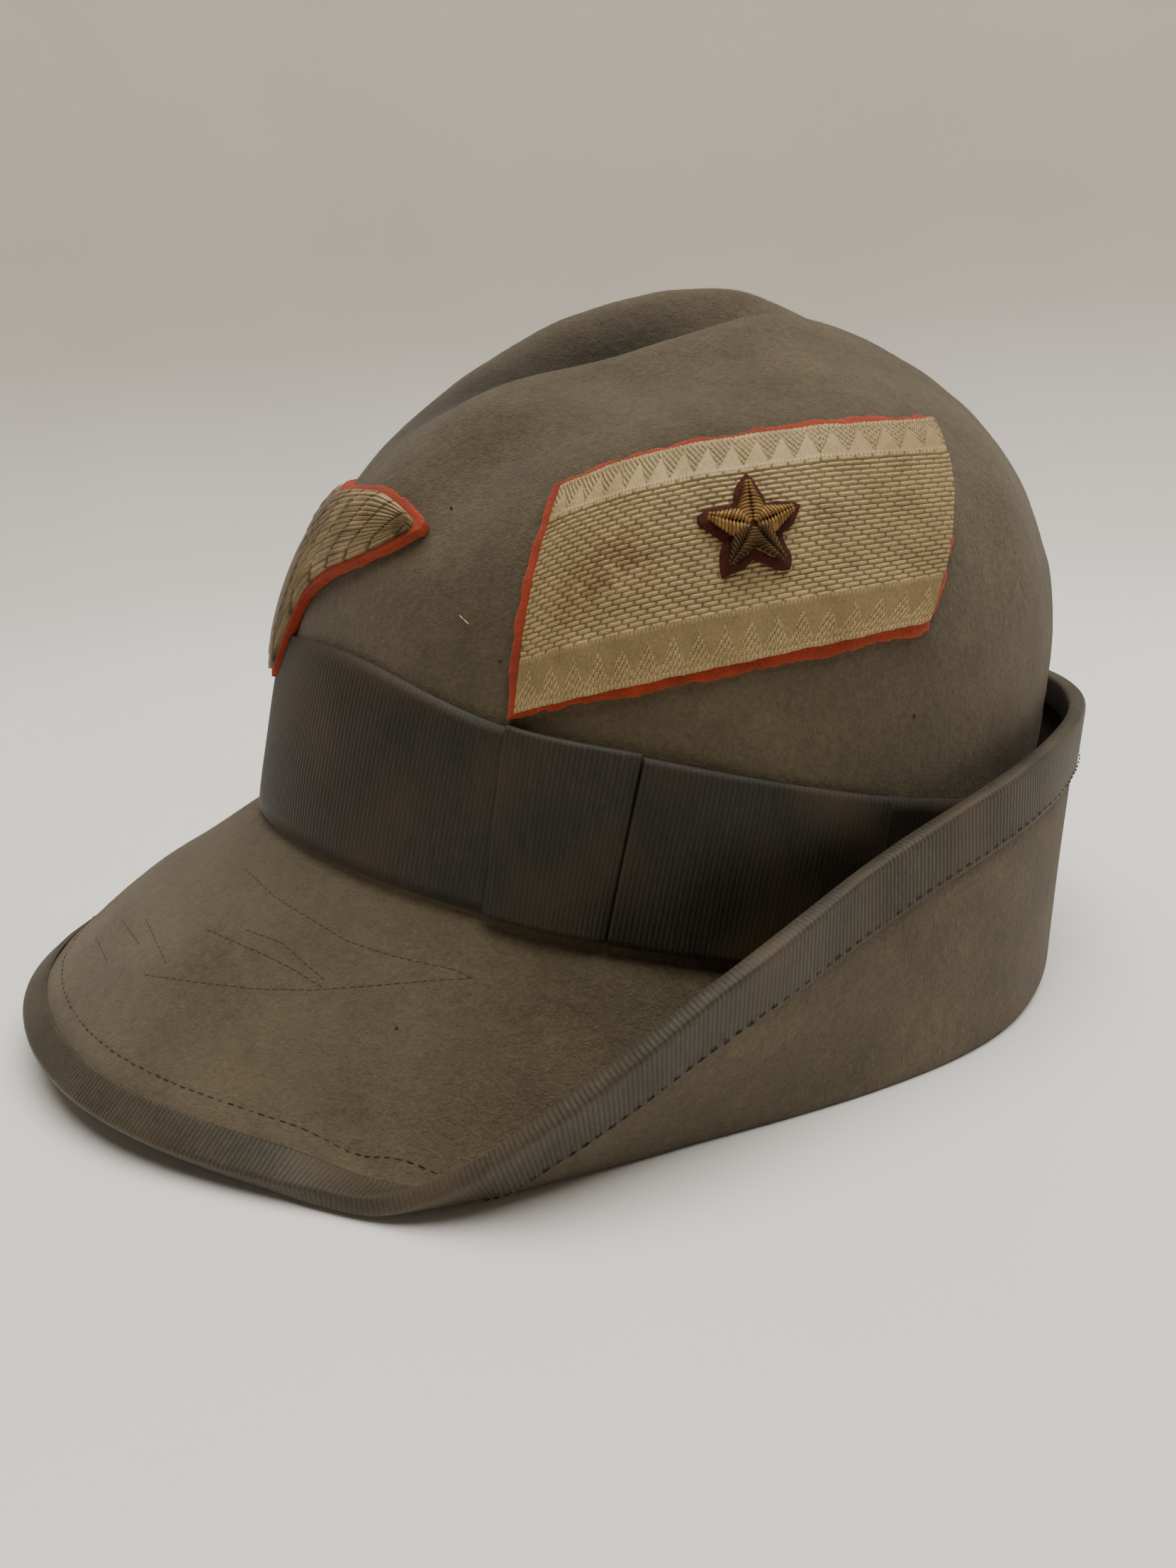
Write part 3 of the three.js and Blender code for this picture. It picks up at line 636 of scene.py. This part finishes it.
def binding_piece():
    fine = np.linspace(0, 360, 1441)
    ang, v = even_ribs(brim_point(fine, 0, 0), fine, RIB_PITCH, 4)
    deg, ridge = ang[None, :-1], rib(v[:-1])[None, :]
    g, th, n, w = gap, binding_stack, inner_leaf, outer_leaf
    # outer face of the leaves, from the end of the narrow leaf round the edge to the end of the wide one:
    # distance back from the edge, and lift
    loop = [
        (n, g * 0.5), (n, th - 0.1), (n - 0.5, th), (n * 0.62, th), (n * 0.3, th), (0.4, th),
        (-0.25, th - 0.06), (-0.7, th - 0.35), (-0.95, g), (-1.02, -felt * 0.5), (-0.95, -felt - g),
        (-0.7, -felt - th + 0.35), (-0.25, -felt - th + 0.06), (0.4, -felt - th), (n * 0.3, -felt - th),
        (n * 0.62, -felt - th), (n, -felt - th), (mix(n, w, 0.4), -felt - th), (mix(n, w, 0.8), -felt - th),
        (w - 0.4, -felt - th), (w, -felt - th + 0.1), (w, -felt - g * 0.5),
    ]
    rows = []
    mid, more, less = section(deg), section(deg + 0.5), section(deg - 0.5)
    for k, (back, lift) in enumerate(loop):
        p, nrm, inward = brim_frame(mid, more, less, back)
        side = np.sign(lift + felt * 0.5) if back > -1.0 else 0
        hem = k in (0, len(loop) - 1)
        wave = waves(p, 26, 41) * (0.0 if hem else 0.12)
        raised = ridge * (0.0 if hem else 0.15)
        push = nrm * (side * (raised + wave))[..., None]
        if back < 0:
            push = push * 0.6 + inward * raised[..., None] * 0.8
        rows.append((p + nrm * lift + push)[0])
    grid = np.stack(rows)
    grid[..., 2] = np.maximum(grid[..., 2], 0.02)
    # tone: painted shade in the valleys between the ribs, with random mottling
    tone = 0.5 + 0.62 * ridge + np.zeros((len(loop), 1))
    tone = tone * (1 + 0.13 * waves(grid, 20, 42) + 0.07 * waves(grid, 3.5, 43))
    stain = np.clip(0.1 + 0.4 * waves(grid, 24, 44), 0, 0.6)
    faces = grid_faces(*grid.shape[:2], True)
    make("edge_binding", grid, faces, BINDING, ("brim_binding",), tone, stain)


binding_piece()


# Thin grains of thread: stitches and bullion


def grains(name, ends, radius, normals, material, bend=0.0, nodes=(), tones=None, sides=6, steps=5):
    """Rounded threads between pairs of points, bent away from the surface by a share of their length."""
    a, b = np.asarray(ends[0], float), np.asarray(ends[1], float)
    t = np.linspace(0, 1, steps)
    length = np.linalg.norm(b - a, axis=1, keepdims=True)
    d = unit(b - a)
    s = unit(np.cross(d, unit(np.asarray(normals, float))))
    u = np.cross(s, d)
    phi = np.arange(sides) * 2 * math.pi / sides
    thick = radius * np.sqrt(np.clip(1 - (2 * t - 1) ** 4, 0.02, 1))
    pts, faces, tone = [], [], []
    for k in range(len(a)):
        centre = a[k] + (b[k] - a[k]) * t[:, None] + u[k] * (bend * length[k] * 4 * (t * (1 - t))[:, None])
        ring = np.cos(phi)[None, :, None] * s[k] + np.sin(phi)[None, :, None] * u[k]
        pts.append((centre[:, None, :] + ring * thick[:, None, None]).reshape(-1, 3))
        faces.append(grid_faces(steps, sides, True, k * steps * sides, True))
        tone.append(np.full(steps * sides, 1.0 if tones is None else tones[k]))
    pts, faces, tone = np.concatenate(pts), np.concatenate(faces), np.concatenate(tone)
    return make(name, pts, faces, material, nodes, tone)


def line_of_stitches(deg_line, back, lift, pitch, length, side):
    """Ends and normals of stitches along the brim at a distance from its edge, on its side 1 or -1."""
    back_line = back + 0 * deg_line
    p = brim_point(deg_line, back_line, lift)
    up = brim_point(deg_line, back_line, lift + side) - p
    run = travelled(p)
    at = np.arange(pitch * 0.5, run[-1] - length, pitch)
    if side > 0:
        p = p + up * swell(p)[:, None]
    jitter = rng.normal(0, 0.06, (len(at), 3))
    return along_line(at, run, p) + jitter, along_line(at + length, run, p) + jitter, along_line(at, run, up)


STITCH_BACK = outer_leaf - 1.0
full = np.linspace(0, 360, 1200)
a, b, n = line_of_stitches(full, STITCH_BACK, -felt - binding_stack - 0.22, 3.0, 1.9, -1)
grains("binding_stitches", (a, b), 0.2, n, THREAD, 0.03)
a, b, n = line_of_stitches(full, STITCH_BACK, 0.03, 2.5, 1.7, 1)
grains("visor_stitches", (a, b), 0.13, n, THREAD, 0.02)


# Trim on the crown


def through(stops, s):
    """Smooth line through three (angle, share) stops."""
    w = [(1 - s) * (1 - 2 * s), 4 * s * (1 - s), s * (2 * s - 1)]
    return [sum(w[i] * stops[i][k] for i in range(3)) for k in range(2)]


def between(top, bottom, s, t):
    a, b = through(top, s), through(bottom, s)
    return mix(a[0], b[0], t), mix(a[1], b[1], t)


# angle and share of crown_height at the start, middle and end of each long edge
PATCH_TOP = [(52.2, 0.634), (77.3, 0.758), (115.9, 0.838)]
PATCH_BOTTOM = [(56.9, 0.302), (80.7, 0.419), (107.1, 0.528)]
LACE_TOP = [(54.0, 0.627), (76.0, 0.738), (114.6, 0.824)]
LACE_BOTTOM = [(58.0, 0.315), (81.0, 0.436), (106.4, 0.541)]


def relief(name, place, ns, nt, lift, height, material, nodes, tone=None, stain=None, base=0.0,
           ragged=0.0):
    """A piece laid on the crown, with height, tone and stain given across (s) and down (t) it."""
    s, t = np.meshgrid(np.linspace(0, 1, ns), np.linspace(0, 1, nt))
    a, u = place(s, t)
    flat = on_crown(a, u, np.full(a.shape, lift))
    if ragged:
        rim = np.exp(-np.minimum.reduce([s, 1 - s, 2 * t, 2 * (1 - t)]) * 30)
        a = a + rim * waves(flat, 9, 61) * ragged * 0.7 + rim * waves(flat, 2, 62) * ragged * 0.25
        u = u + rim * waves(flat, 8, 63) * ragged * 0.007 + rim * waves(flat, 2, 64) * ragged * 0.003
    top = on_crown(a, u, lift + height(s, t, flat))
    low = on_crown(a, u, np.full(a.shape, base))
    pts, faces, src = skirted(top, low, False)
    tv = np.ones(s.shape) if tone is None else tone(s, t, flat)
    sv = np.zeros(s.shape) if stain is None else stain(s, t, flat)
    return make(name, pts, faces, material, nodes, tv.reshape(-1)[src], sv.reshape(-1)[src])


def patch_height(s, t, p):
    rim = np.exp(-np.minimum.reduce([s, 1 - s, t * 0.6, (1 - t) * 0.6]) * 110)
    return patch_thick * (1 - 0.35 * rim) + 0.05 * waves(p, 3, 65)


relief(
    "patch_backing", lambda s, t: between(PATCH_TOP, PATCH_BOTTOM, s, t), 220, 130, gap, patch_height,
    RED, ("patch_felt",), lambda s, t, p: 1 + 0.1 * waves(p, 8, 66), ragged=0.4,
)

# The lace: length in millimetres, bars along it and rows across its middle, and how its figures repeat
LACE_LENGTH, LACE_BARS, LACE_ROWS = 98, 27, 27
ROW_OFFSET, STRAND_PITCH, TOOTH_PITCH, DASH_PITCH, TWIST_PITCH = 0.42, 0.42, 5.75, 0.78, 0.9
TOP_STRIPE, LOW_STRIPE = 0.155, 0.775
# place across the lace and strength of its raised cords
LACE_CORDS = ((TOP_STRIPE, 1.0), (LOW_STRIPE, 0.8), (0.012, 0.9), (0.985, 1.0), (0.95, 0.5))
# place along and across, spread along and across, strength
LACE_SPOTS = (
    (0.24, 0.4, 0.09, 0.2, 0.62), (0.15, 0.56, 0.07, 0.12, 0.6), (0.86, 0.3, 0.1, 0.2, 0.3),
    (0.3, 0.5, 0.1, 0.1, 0.35), (0.7, 0.42, 0.05, 0.1, 0.3),
)


def lace_pattern(s, t):
    """Height and tone of the woven lace: barred centre between two satin stripes with toothed figures."""
    along = s * LACE_LENGTH
    v = (t - TOP_STRIPE) / (LOW_STRIPE - TOP_STRIPE) * LACE_ROWS
    row = np.floor(v)
    u = s * LACE_BARS - row * ROW_OFFSET
    bar = np.floor(u)
    pick = np.modf(np.abs(np.sin(bar * 12.9898 + row * 78.233)) * 43758.5453)[0]
    bars = (1 - np.abs(2 * (u - bar) - 1) ** 7) * np.sin(np.pi * np.clip(v - row, 0, 1)) ** 0.7
    strands = 0.5 + 0.5 * np.sin(along * 2 * math.pi / STRAND_PITCH + 1.3 * np.sin(t * 31))
    # painted shade: the centre's tone drops between the raised bars
    centre_tone = 0.45 + 0.66 * bars + 0.14 * (pick - 0.5)
    upper = t < 0.5
    inside = np.where(upper, t / TOP_STRIPE, (1 - t) / (1 - LOW_STRIPE))
    wave = np.abs(((along / TOOTH_PITCH) % 1) * 2 - 1)
    figure = smooth(-0.05, 0.05, np.where(upper, 0.2 + 0.7 * wave, 0.18 + 0.62 * (1 - wave)) - inside)
    lean = np.sin(inside * 10.5 * math.pi / 0.9 + along * 3)
    dash = (np.sin(along * 2 * math.pi / DASH_PITCH) * lean > 0).astype(float)
    # painted shade: the stripes' tone drops between the raised strands and dashes
    satin = 0.86 + 0.2 * strands
    stripe_tone = np.where(
        upper, mix(satin, 0.5 + 0.55 * dash, figure), mix(0.74 * satin, 0.62 + 0.5 * dash, figure)
    )
    stripe_h = 0.3 + 0.15 * strands + 0.45 * figure * dash
    centre = smooth(TOP_STRIPE - 0.004, TOP_STRIPE + 0.004, t)
    centre = centre * (1 - smooth(LOW_STRIPE - 0.004, LOW_STRIPE + 0.004, t))
    h = mix(stripe_h, bars, centre)
    tone = mix(stripe_tone, centre_tone, centre)
    twist = 0.8 + 0.2 * np.sin(along * 2 * math.pi / TWIST_PITCH)
    # painted highlight: the raised cords are painted lighter
    for line, strength in LACE_CORDS:
        cord = np.exp(-((t - line) / 0.009) ** 2) * strength
        h = mix(h, 1.1 * twist, cord)
        tone = mix(tone, 1.12 * twist, cord)
    return h, tone


def lace_stain(s, t, p):
    spots = sum(k * blob(s, t, a, b, w, h) for a, b, w, h, k in LACE_SPOTS)
    grain = np.clip(0.55 + 0.5 * waves(p, 4, 71) + 0.3 * waves(p, 1.6, 72), 0, 1)
    dirt = 0.1 * np.clip(waves(p, 11, 73), 0, 1)
    return np.clip((spots * grain + dirt) * (1.05 - 0.45 * lace_pattern(s, t)[0]), 0, 0.8)


lace_lift = gap * 2 + patch_thick
relief(
    "patch_lace_weave", lambda s, t: between(LACE_TOP, LACE_BOTTOM, s, t), 620, 310, lace_lift,
    lambda s, t, p: lace_thick - 0.2 + 0.42 * lace_pattern(s, t)[0] + 0.12 * waves(p, 14, 74),
    LACE, ("patch_lace",), lambda s, t, p: lace_pattern(s, t)[1] * (1 + 0.06 * waves(p, 9, 75)),
    lace_stain, base=gap * 1.2 + patch_thick, ragged=0.12,
)

# Star: felt backing, core and bullion wire laid across each arm
star_lift = lace_lift + lace_thick + gap
bullion_lift = star_lift + 1.2 + gap
# angle, share of crown_height, turn
CENTRE = (80.9, 0.618, 17.0)
middle = crown_point(CENTRE[0], CENTRE[1])
per_degree = float(np.linalg.norm(crown_point(CENTRE[0] + 1, CENTRE[1]) - middle))
per_share = float(np.linalg.norm(crown_point(CENTRE[0], CENTRE[1] + 0.01) - middle)) * 100


def star_xy(x, y, lift):
    """Point on the crown at millimetres across and up from the star's centre."""
    x, y = np.asarray(x, float), np.asarray(y, float)
    lift = np.broadcast_to(np.asarray(lift, float), x.shape)
    return on_crown(CENTRE[0] + x / per_degree, CENTRE[1] + y / per_share, lift)


def star_reach(phi, tip_r, notch_r, soft):
    """Distance to the star's outline at an angle from its first tip."""
    f = np.abs((phi / (2 * math.pi / 5) + 0.5) % 1 - 0.5) * 2
    a = f * math.pi / 5
    x1, y1 = tip_r, 0.0
    x2, y2 = notch_r * math.cos(math.pi / 5), notch_r * math.sin(math.pi / 5)
    straight = (x1 * y2 - x2 * y1) / ((y2 - y1) * np.cos(a) - (x2 - x1) * np.sin(a))
    rounded = mix(tip_r, notch_r, smooth(0, 1, f))
    return mix(straight, rounded, soft)


def star_disc(name, tip_r, notch_r, soft, lift, height, material, nodes, base):
    turns, rings = 200, 22
    phi = np.arange(turns) / turns * 2 * math.pi
    r = np.linspace(0.02, 1, rings)[:, None]
    reach = star_reach(phi, tip_r, notch_r, soft)[None, :] * (1 + 0.02 * np.sin(phi * 17)[None, :])
    turn = math.radians(90 + CENTRE[2])
    x, y = r * reach * np.cos(turn - phi)[None, :], r * reach * np.sin(turn - phi)[None, :]
    top = star_xy(x, y, lift + height(r, phi[None, :]))
    low = star_xy(x, y, base + 0 * x)
    pts, faces, src = skirted(top[::-1, ::-1], low[::-1, ::-1], True)
    return make(name, pts, faces, material, nodes)


star_disc(
    "star_backing", star_radius + 1.2, star_radius * 0.47 + 1.5, 0.6, star_lift,
    lambda r, phi: 1.2 - 0.5 * smooth(0.8, 1.0, r) + 0.08 * np.sin(phi * 31) * r,
    DARK_RED, ("star_felt",), lace_lift + 0.3,
)
star_disc(
    "star_core", star_radius * 0.86, star_radius * 0.42, 0.2, bullion_lift - 0.3,
    lambda r, phi: 1.35 * (1 - 0.75 * r ** 2),
    BRONZE, ("star_bullion",), star_lift + 0.6,
)

# brightness of the wires on each arm: painted shade on the two lower arms
ARM_PAINTED_SHADE = (1.0, 1.05, 0.28, 0.3, 1.0)
ARM_SLOPES = (0.2, 0.2, 0.7, 0.7, 0.2)
ARM_WIRES = 12


def star_wires():
    a, b, nrm, tones = [], [], [], []
    for arm in range(5):
        turn = math.radians(90 + CENTRE[2] - arm * 72)
        d = np.array([math.cos(turn), math.sin(turn)])
        q = np.array([-d[1], d[0]])
        for i in range(ARM_WIRES):
            along = mix(0.6, star_radius * 0.9, (i + 0.5) / ARM_WIRES)
            half = mix(star_radius * 0.33, 0.45, smooth(0.25, 1.0, along / star_radius))
            half = half * min(1, 0.35 + along / 4)
            x, y = d * (along + 0.15)
            for side in (1, -1):
                end = d * (along - ARM_SLOPES[arm] * half) + q * side * half
                a.append(star_xy(x, y, bullion_lift + 1.75 - 0.5 * along / star_radius))
                b.append(star_xy(*end, bullion_lift + 0.55))
                nrm.append(star_xy(x, y, bullion_lift + 3) - star_xy(x, y, bullion_lift))
                tones.append(ARM_PAINTED_SHADE[arm] * rng.uniform(0.75, 1.15))
    grains("star_wires", (a, b), 0.44, nrm, BRONZE, 0.1, ("star_bullion",), tones, 8, 7)


star_wires()

# Badge in front: red felt under wings of bullion in short feathered rows, and a plain boss
REACH = 35.0
BADGE_RUN, FEATHER_PITCH, BOSS_REACH = 46, 6.2, 6.5


def badge_place(reach, margin):
    def place(s, t):
        a = reach * (2 * s - 1)
        low, high = column(BADGE, 1, a) + margin, column(BADGE, 2, a) - margin
        m = (low + high) / 2
        low, high = np.minimum(low, m - 0.003), np.maximum(high, m + 0.003)
        return a, mix(high, low, t)
    return place


relief(
    "badge_backing", badge_place(REACH, 0.0), 220, 80, band_lift,
    lambda s, t, p: 1.2 * (1 - 0.3 * np.exp(-np.minimum(t, 1 - t) * 30)) + 0.05 * waves(p, 3, 81),
    RED, ("badge_felt",), lambda s, t, p: 1 + 0.1 * waves(p, 8, 82), base=0.2, ragged=0.25,
)


def feather(s, t):
    """Height and tone of the feathered bullion, by place across and down the badge."""
    a = np.abs(2 * s - 1)
    run = a * BADGE_RUN + 5.5 * t
    row = np.floor(run / FEATHER_PITCH)
    f = run / FEATHER_PITCH - row
    seam = np.exp(-(np.minimum(f, 1 - f) / 0.09) ** 2)
    thread = np.abs(np.sin((t * 22 + 1.7 * row + 1.2 * a) * math.pi / 1.6)) ** 0.6
    boss = np.clip(1 - (a * REACH / BOSS_REACH) ** 2 - ((t - 0.55) / 0.3) ** 2, 0, 1) ** 0.5
    edge = np.minimum(1, 0.35 + 5 * np.minimum(t, 1 - t))
    pick = np.modf(np.sin(row * 12.9898 + np.floor(t * 14) * 78.233) * 43758.5453)[0]
    h = (0.5 + 0.32 * thread + 0.12 * (1 - f)) * (1 - 0.55 * seam) * edge
    h = mix(h, 0.75 + 0.35 * boss, smooth(0.0, 0.15, boss))
    # tone: painted shade in the seams between the rows and between the threads, a random pick, and darker
    # towards the middle
    tone = (0.55 + 0.55 * thread + 0.2 * pick) * (1 - 0.75 * seam) * mix(0.55, 1.0, smooth(0.12, 0.5, a))
    return h, tone


relief(
    "badge_bullion", badge_place(REACH - 2, 0.011), 420, 110, band_lift + 1.2 + gap,
    lambda s, t, p: badge_thick * feather(s, t)[0], SILVER, ("badge_wings",),
    lambda s, t, p: feather(s, t)[1], lambda s, t, p: np.clip(0.2 * waves(p, 5, 83), 0, 0.5),
    base=band_lift + 0.6,
)


# Camera, as fitted to the photograph: degrees, and millimetres from the middle of the crown's foot
AZIMUTH, ELEVATION, ROLL = 77.95, 17.68, -3.59
TARGET, DISTANCE = (0, -11.92, 46.62), 320.37
az, el, roll = math.radians(AZIMUTH), math.radians(ELEVATION), math.radians(ROLL)
back_dir = np.array([math.sin(az) * math.cos(el), -math.cos(az) * math.cos(el), math.sin(el)])
place = (np.array(TARGET) + SHIFT + DISTANCE * back_dir) / 1000
right = unit(np.cross(-back_dir, [0, 0, 1.0]))
up = np.cross(right, -back_dir)
right, up = math.cos(roll) * right + math.sin(roll) * up, math.cos(roll) * up - math.sin(roll) * right
cam = bpy.data.cameras.new("camera")
cam.sensor_width = 36
cam.lens = 26.79
cam.clip_start = 0.01
eye = bpy.data.objects.new("camera", cam)
eye.matrix_world = Matrix([
    [right[0], up[0], back_dir[0], place[0]],
    [right[1], up[1], back_dir[1], place[1]],
    [right[2], up[2], back_dir[2], place[2]],
    [0, 0, 0, 1],
])
bpy.context.scene.collection.objects.link(eye)
bpy.context.scene.camera = eye

# Seams, creases and small marks on the felt, traced as pixels of the photograph and laid on the surface
PICTURE = (1659, 2212)
FOCAL = 1646.09
CRESCENTS = [
    [(202, 1375), (280, 1386), (360, 1395), (440, 1397), (520, 1391), (600, 1384), (680, 1379)],
    [(291, 1311), (323, 1325), (377, 1349), (409, 1365), (458, 1395)],
    [(345, 1311), (398, 1330), (431, 1360), (463, 1387)],
    [(345, 1225), (388, 1266), (436, 1295), (490, 1328), (555, 1349), (641, 1368), (668, 1381)],
    [(135, 1322), (153, 1360)],
    [(172, 1298), (197, 1333)],
    [(205, 1295), (237, 1365)],
]
SNAG = [(418, 1636), (430, 1641), (437, 1650), (450, 1652)]
LINT = [(649, 868), (655, 874), (663, 881)]
SPECKS = [(637, 717), (706, 932), (1290, 1010), (560, 1450)]

flat_quads = grid_faces(*felt_upper.shape[:2], True)
felt_tree = BVHTree.FromPolygons(((felt_upper.reshape(-1, 3) + SHIFT) / 1000).tolist(), flat_quads.tolist())


def on_felt(px, py):
    """Place and outward direction, in millimetres of the tables, where a pixel's ray meets the felt."""
    ray = -back_dir + right * (px - PICTURE[0] / 2) / FOCAL - up * (py - PICTURE[1] / 2) / FOCAL
    hit, normal, _, _ = felt_tree.ray_cast(place.tolist(), ray.tolist())
    normal = np.array(normal)
    if normal @ ray > 0:
        normal = -normal
    return np.array(hit) * 1000 - SHIFT, normal


def traced(line, step=0.4):
    """A line of pixels as points on the felt at even steps, with the directions square to it."""
    line = np.array(line, float)
    run = travelled(line)
    fine = np.linspace(0, run[-1], max(6, int(run[-1] / 4)))
    ends = [on_felt(np.interp(q, run, line[:, 0]), np.interp(q, run, line[:, 1])) for q in fine]
    pts, ups = np.array([e[0] for e in ends]), np.array([e[1] for e in ends])
    run = travelled(pts)
    at = np.linspace(0, run[-1], max(2, int(run[-1] / step)))
    return along_line(at, run, pts), unit(along_line(at, run, ups)), at


def seam(name, lines, pitch, length, radius, lift):
    """Stitches along lines of pixels."""
    a, b, n = [], [], []
    for line in lines:
        pts, ups, at = traced(line)
        start = np.arange(0.3, at[-1] - length, pitch)
        for end, q in ((a, start), (b, start + length)):
            end.append(along_line(q, at, pts) + along_line(q, at, ups) * lift)
        n.append(along_line(start, at, ups))
    grains(name, (np.concatenate(a), np.concatenate(b)), radius, np.concatenate(n), THREAD)


seam("visor_crescents", CRESCENTS, 2.0, 1.7, 0.105, 0.0)
seam("snag", [SNAG], 0.5, 0.6, 0.16, 0.15)
a, b, n = [], [], []
for k in range(len(LINT) - 1):
    for end, pixel in ((a, LINT[k]), (b, LINT[k + 1])):
        pt, nrm = on_felt(*pixel)
        end.append(pt + nrm * 0.35)
    n.append(nrm)
grains("lint", (a, b), 0.13, n, LACE, 0.05, tones=[1.7, 1.7])
a, b, n = [], [], []
for pixel in SPECKS:
    pt, nrm = on_felt(*pixel)
    side = unit(np.cross(nrm, [0.3, 0.2, 1.0]))
    a.append(pt - side * 0.4 + nrm * 0.1)
    b.append(pt + side * 0.4 + nrm * 0.1)
    n.append(nrm)
grains("specks", (a, b), 0.32, n, THREAD)

# Loose nap: short fibres standing off the felt
FIBRES = 26000


def nap_fibres():
    rows, cols = felt_upper.shape[:2]
    i = rng.integers(2, rows - 14, FIBRES)
    j = rng.integers(0, cols, FIBRES)
    keep = (i < crown_rows - 16) | (i > crown_rows + 8)
    i, j = i[keep], j[keep]
    # not used: this draw only keeps the ones after it, and so the fibres, as they were chosen
    rng.normal(size=(len(i), 3))
    p, q = felt_upper[i, j], felt_upper[i, (j + 1) % cols] - felt_upper[i, j]
    r = felt_upper[i + 1, j] - felt_upper[i, j]
    p = p + q * rng.random((len(i), 1)) + r * rng.random((len(i), 1))
    n = unit(np.cross(r, q))
    lie = unit(q * rng.normal(size=(len(i), 1)) + r * rng.normal(size=(len(i), 1)) * 0.6)
    length = rng.uniform(0.6, 1.9, (len(i), 1))
    width = unit(np.cross(n, lie)) * 0.022
    a = p + n * 0.02
    b = p + lie * length * 0.5 + n * length * rng.uniform(0.12, 0.3, (len(i), 1))
    c = p + lie * length + n * length * rng.uniform(0.02, 0.35, (len(i), 1))
    pts = np.stack([a - width, a + width, b + width, b - width, c], 1)
    k = np.arange(len(i))[:, None] * 5
    tri = np.concatenate([k + np.array([corners]) for corners in ((0, 1, 2), (0, 2, 3), (3, 2, 4))])
    tone = np.repeat(rng.uniform(0.7, 1.9, len(i)), 5)
    make("nap_fibres", pts, tri, FELT, (), tone)


nap_fibres()

# Floor and wall of pale paper, painted darker up the wall as painted shade
PAPER = bpy.data.materials.new("paper")
PAPER.use_nodes = True
nt = PAPER.node_tree
bsdf = nt.nodes["Principled BSDF"]
coord = nt.nodes.new("ShaderNodeTexCoord").outputs["Object"]
height = nt.nodes.new("ShaderNodeSeparateXYZ")
nt.links.new(coord, height.inputs[0])
# painted shade: the paper's colour falls from the floor up the wall
fade = ramp(nt, height.outputs["Z"], [
    (0.0, (0.92, 0.9, 0.87)), (0.05, (0.7, 0.68, 0.645)),
    (0.2, (0.47, 0.435, 0.385)), (0.5, (0.44, 0.405, 0.355)),
])
cloudy = ramp(nt, noise(nt, coord, 7, 3, 0.5), [(0.35, (0.96, 0.96, 0.96)), (0.65, (1.0, 1.0, 1.0))])
nt.links.new(mixed(nt, "MULTIPLY", 1.0, fade, cloudy), bsdf.inputs["Base Color"])
bsdf.inputs["Roughness"].default_value = 0.9
nt.links.new(bumped(nt, noise(nt, coord, 9, 2, 0.4), 0.25, 0.004), bsdf.inputs["Normal"])

# a round bowl of paper, its middle drawn towards the camera so that the wall stands close behind the hat;
# lengths in metres
BOWL_SHIFT, BOWL_FLOOR, BOWL_CURVE, BOWL_RIM, BOWL_HEIGHT = 0.75, 1.09, 0.3, 1.5, 1.2
BOWL_LOOK = math.radians(78)
TURNS, BENDS = 96, 12
profile = [(r, 0.0) for r in (0.001, 0.5, 1.0, 1.07, BOWL_FLOOR)]
for k in range(1, BENDS + 1):
    a = k / BENDS * math.pi / 2 * 0.93
    profile.append((BOWL_FLOOR + BOWL_CURVE * math.sin(a), BOWL_CURVE * (1 - math.cos(a))))
profile.append((BOWL_RIM, BOWL_HEIGHT))
phi = np.arange(TURNS) / TURNS * 2 * math.pi
verts = np.array([
    np.stack([
        BOWL_SHIFT * math.sin(BOWL_LOOK) + r * np.cos(phi), -BOWL_SHIFT * math.cos(BOWL_LOOK) + r * np.sin(phi),
        np.full(TURNS, z),
    ], -1)
    for r, z in profile
])
sweep = bpy.data.meshes.new("sweep")
sweep.from_pydata(verts.reshape(-1, 3).tolist(), [], grid_faces(len(profile), TURNS, True).tolist())
sweep.shade_smooth()
sweep.materials.append(PAPER)
floor = bpy.data.objects.new("sweep", sweep)
bpy.context.scene.collection.objects.link(floor)


def lamp(name, place, target, size, watts, color):
    data = bpy.data.lights.new(name, "AREA")
    data.shape = "DISK"
    data.size = size
    data.energy = watts
    data.color = color
    o = bpy.data.objects.new(name, data)
    d = np.array(target, float) - np.array(place, float)
    o.rotation_euler = Vector(d).to_track_quat("-Z", "Y").to_euler()
    o.location = place
    bpy.context.scene.collection.objects.link(o)


lamp("overhead", (0.15, 0.2, 1.45), (0, 0, 0.02), 1.5, 34, (1.0, 0.97, 0.92))
world = bpy.data.worlds.new("room")
bpy.context.scene.world = world
world.use_nodes = True
world.node_tree.nodes["Background"].inputs[0].default_value = (1.0, 0.96, 0.9, 1)
world.node_tree.nodes["Background"].inputs[1].default_value = 0.02

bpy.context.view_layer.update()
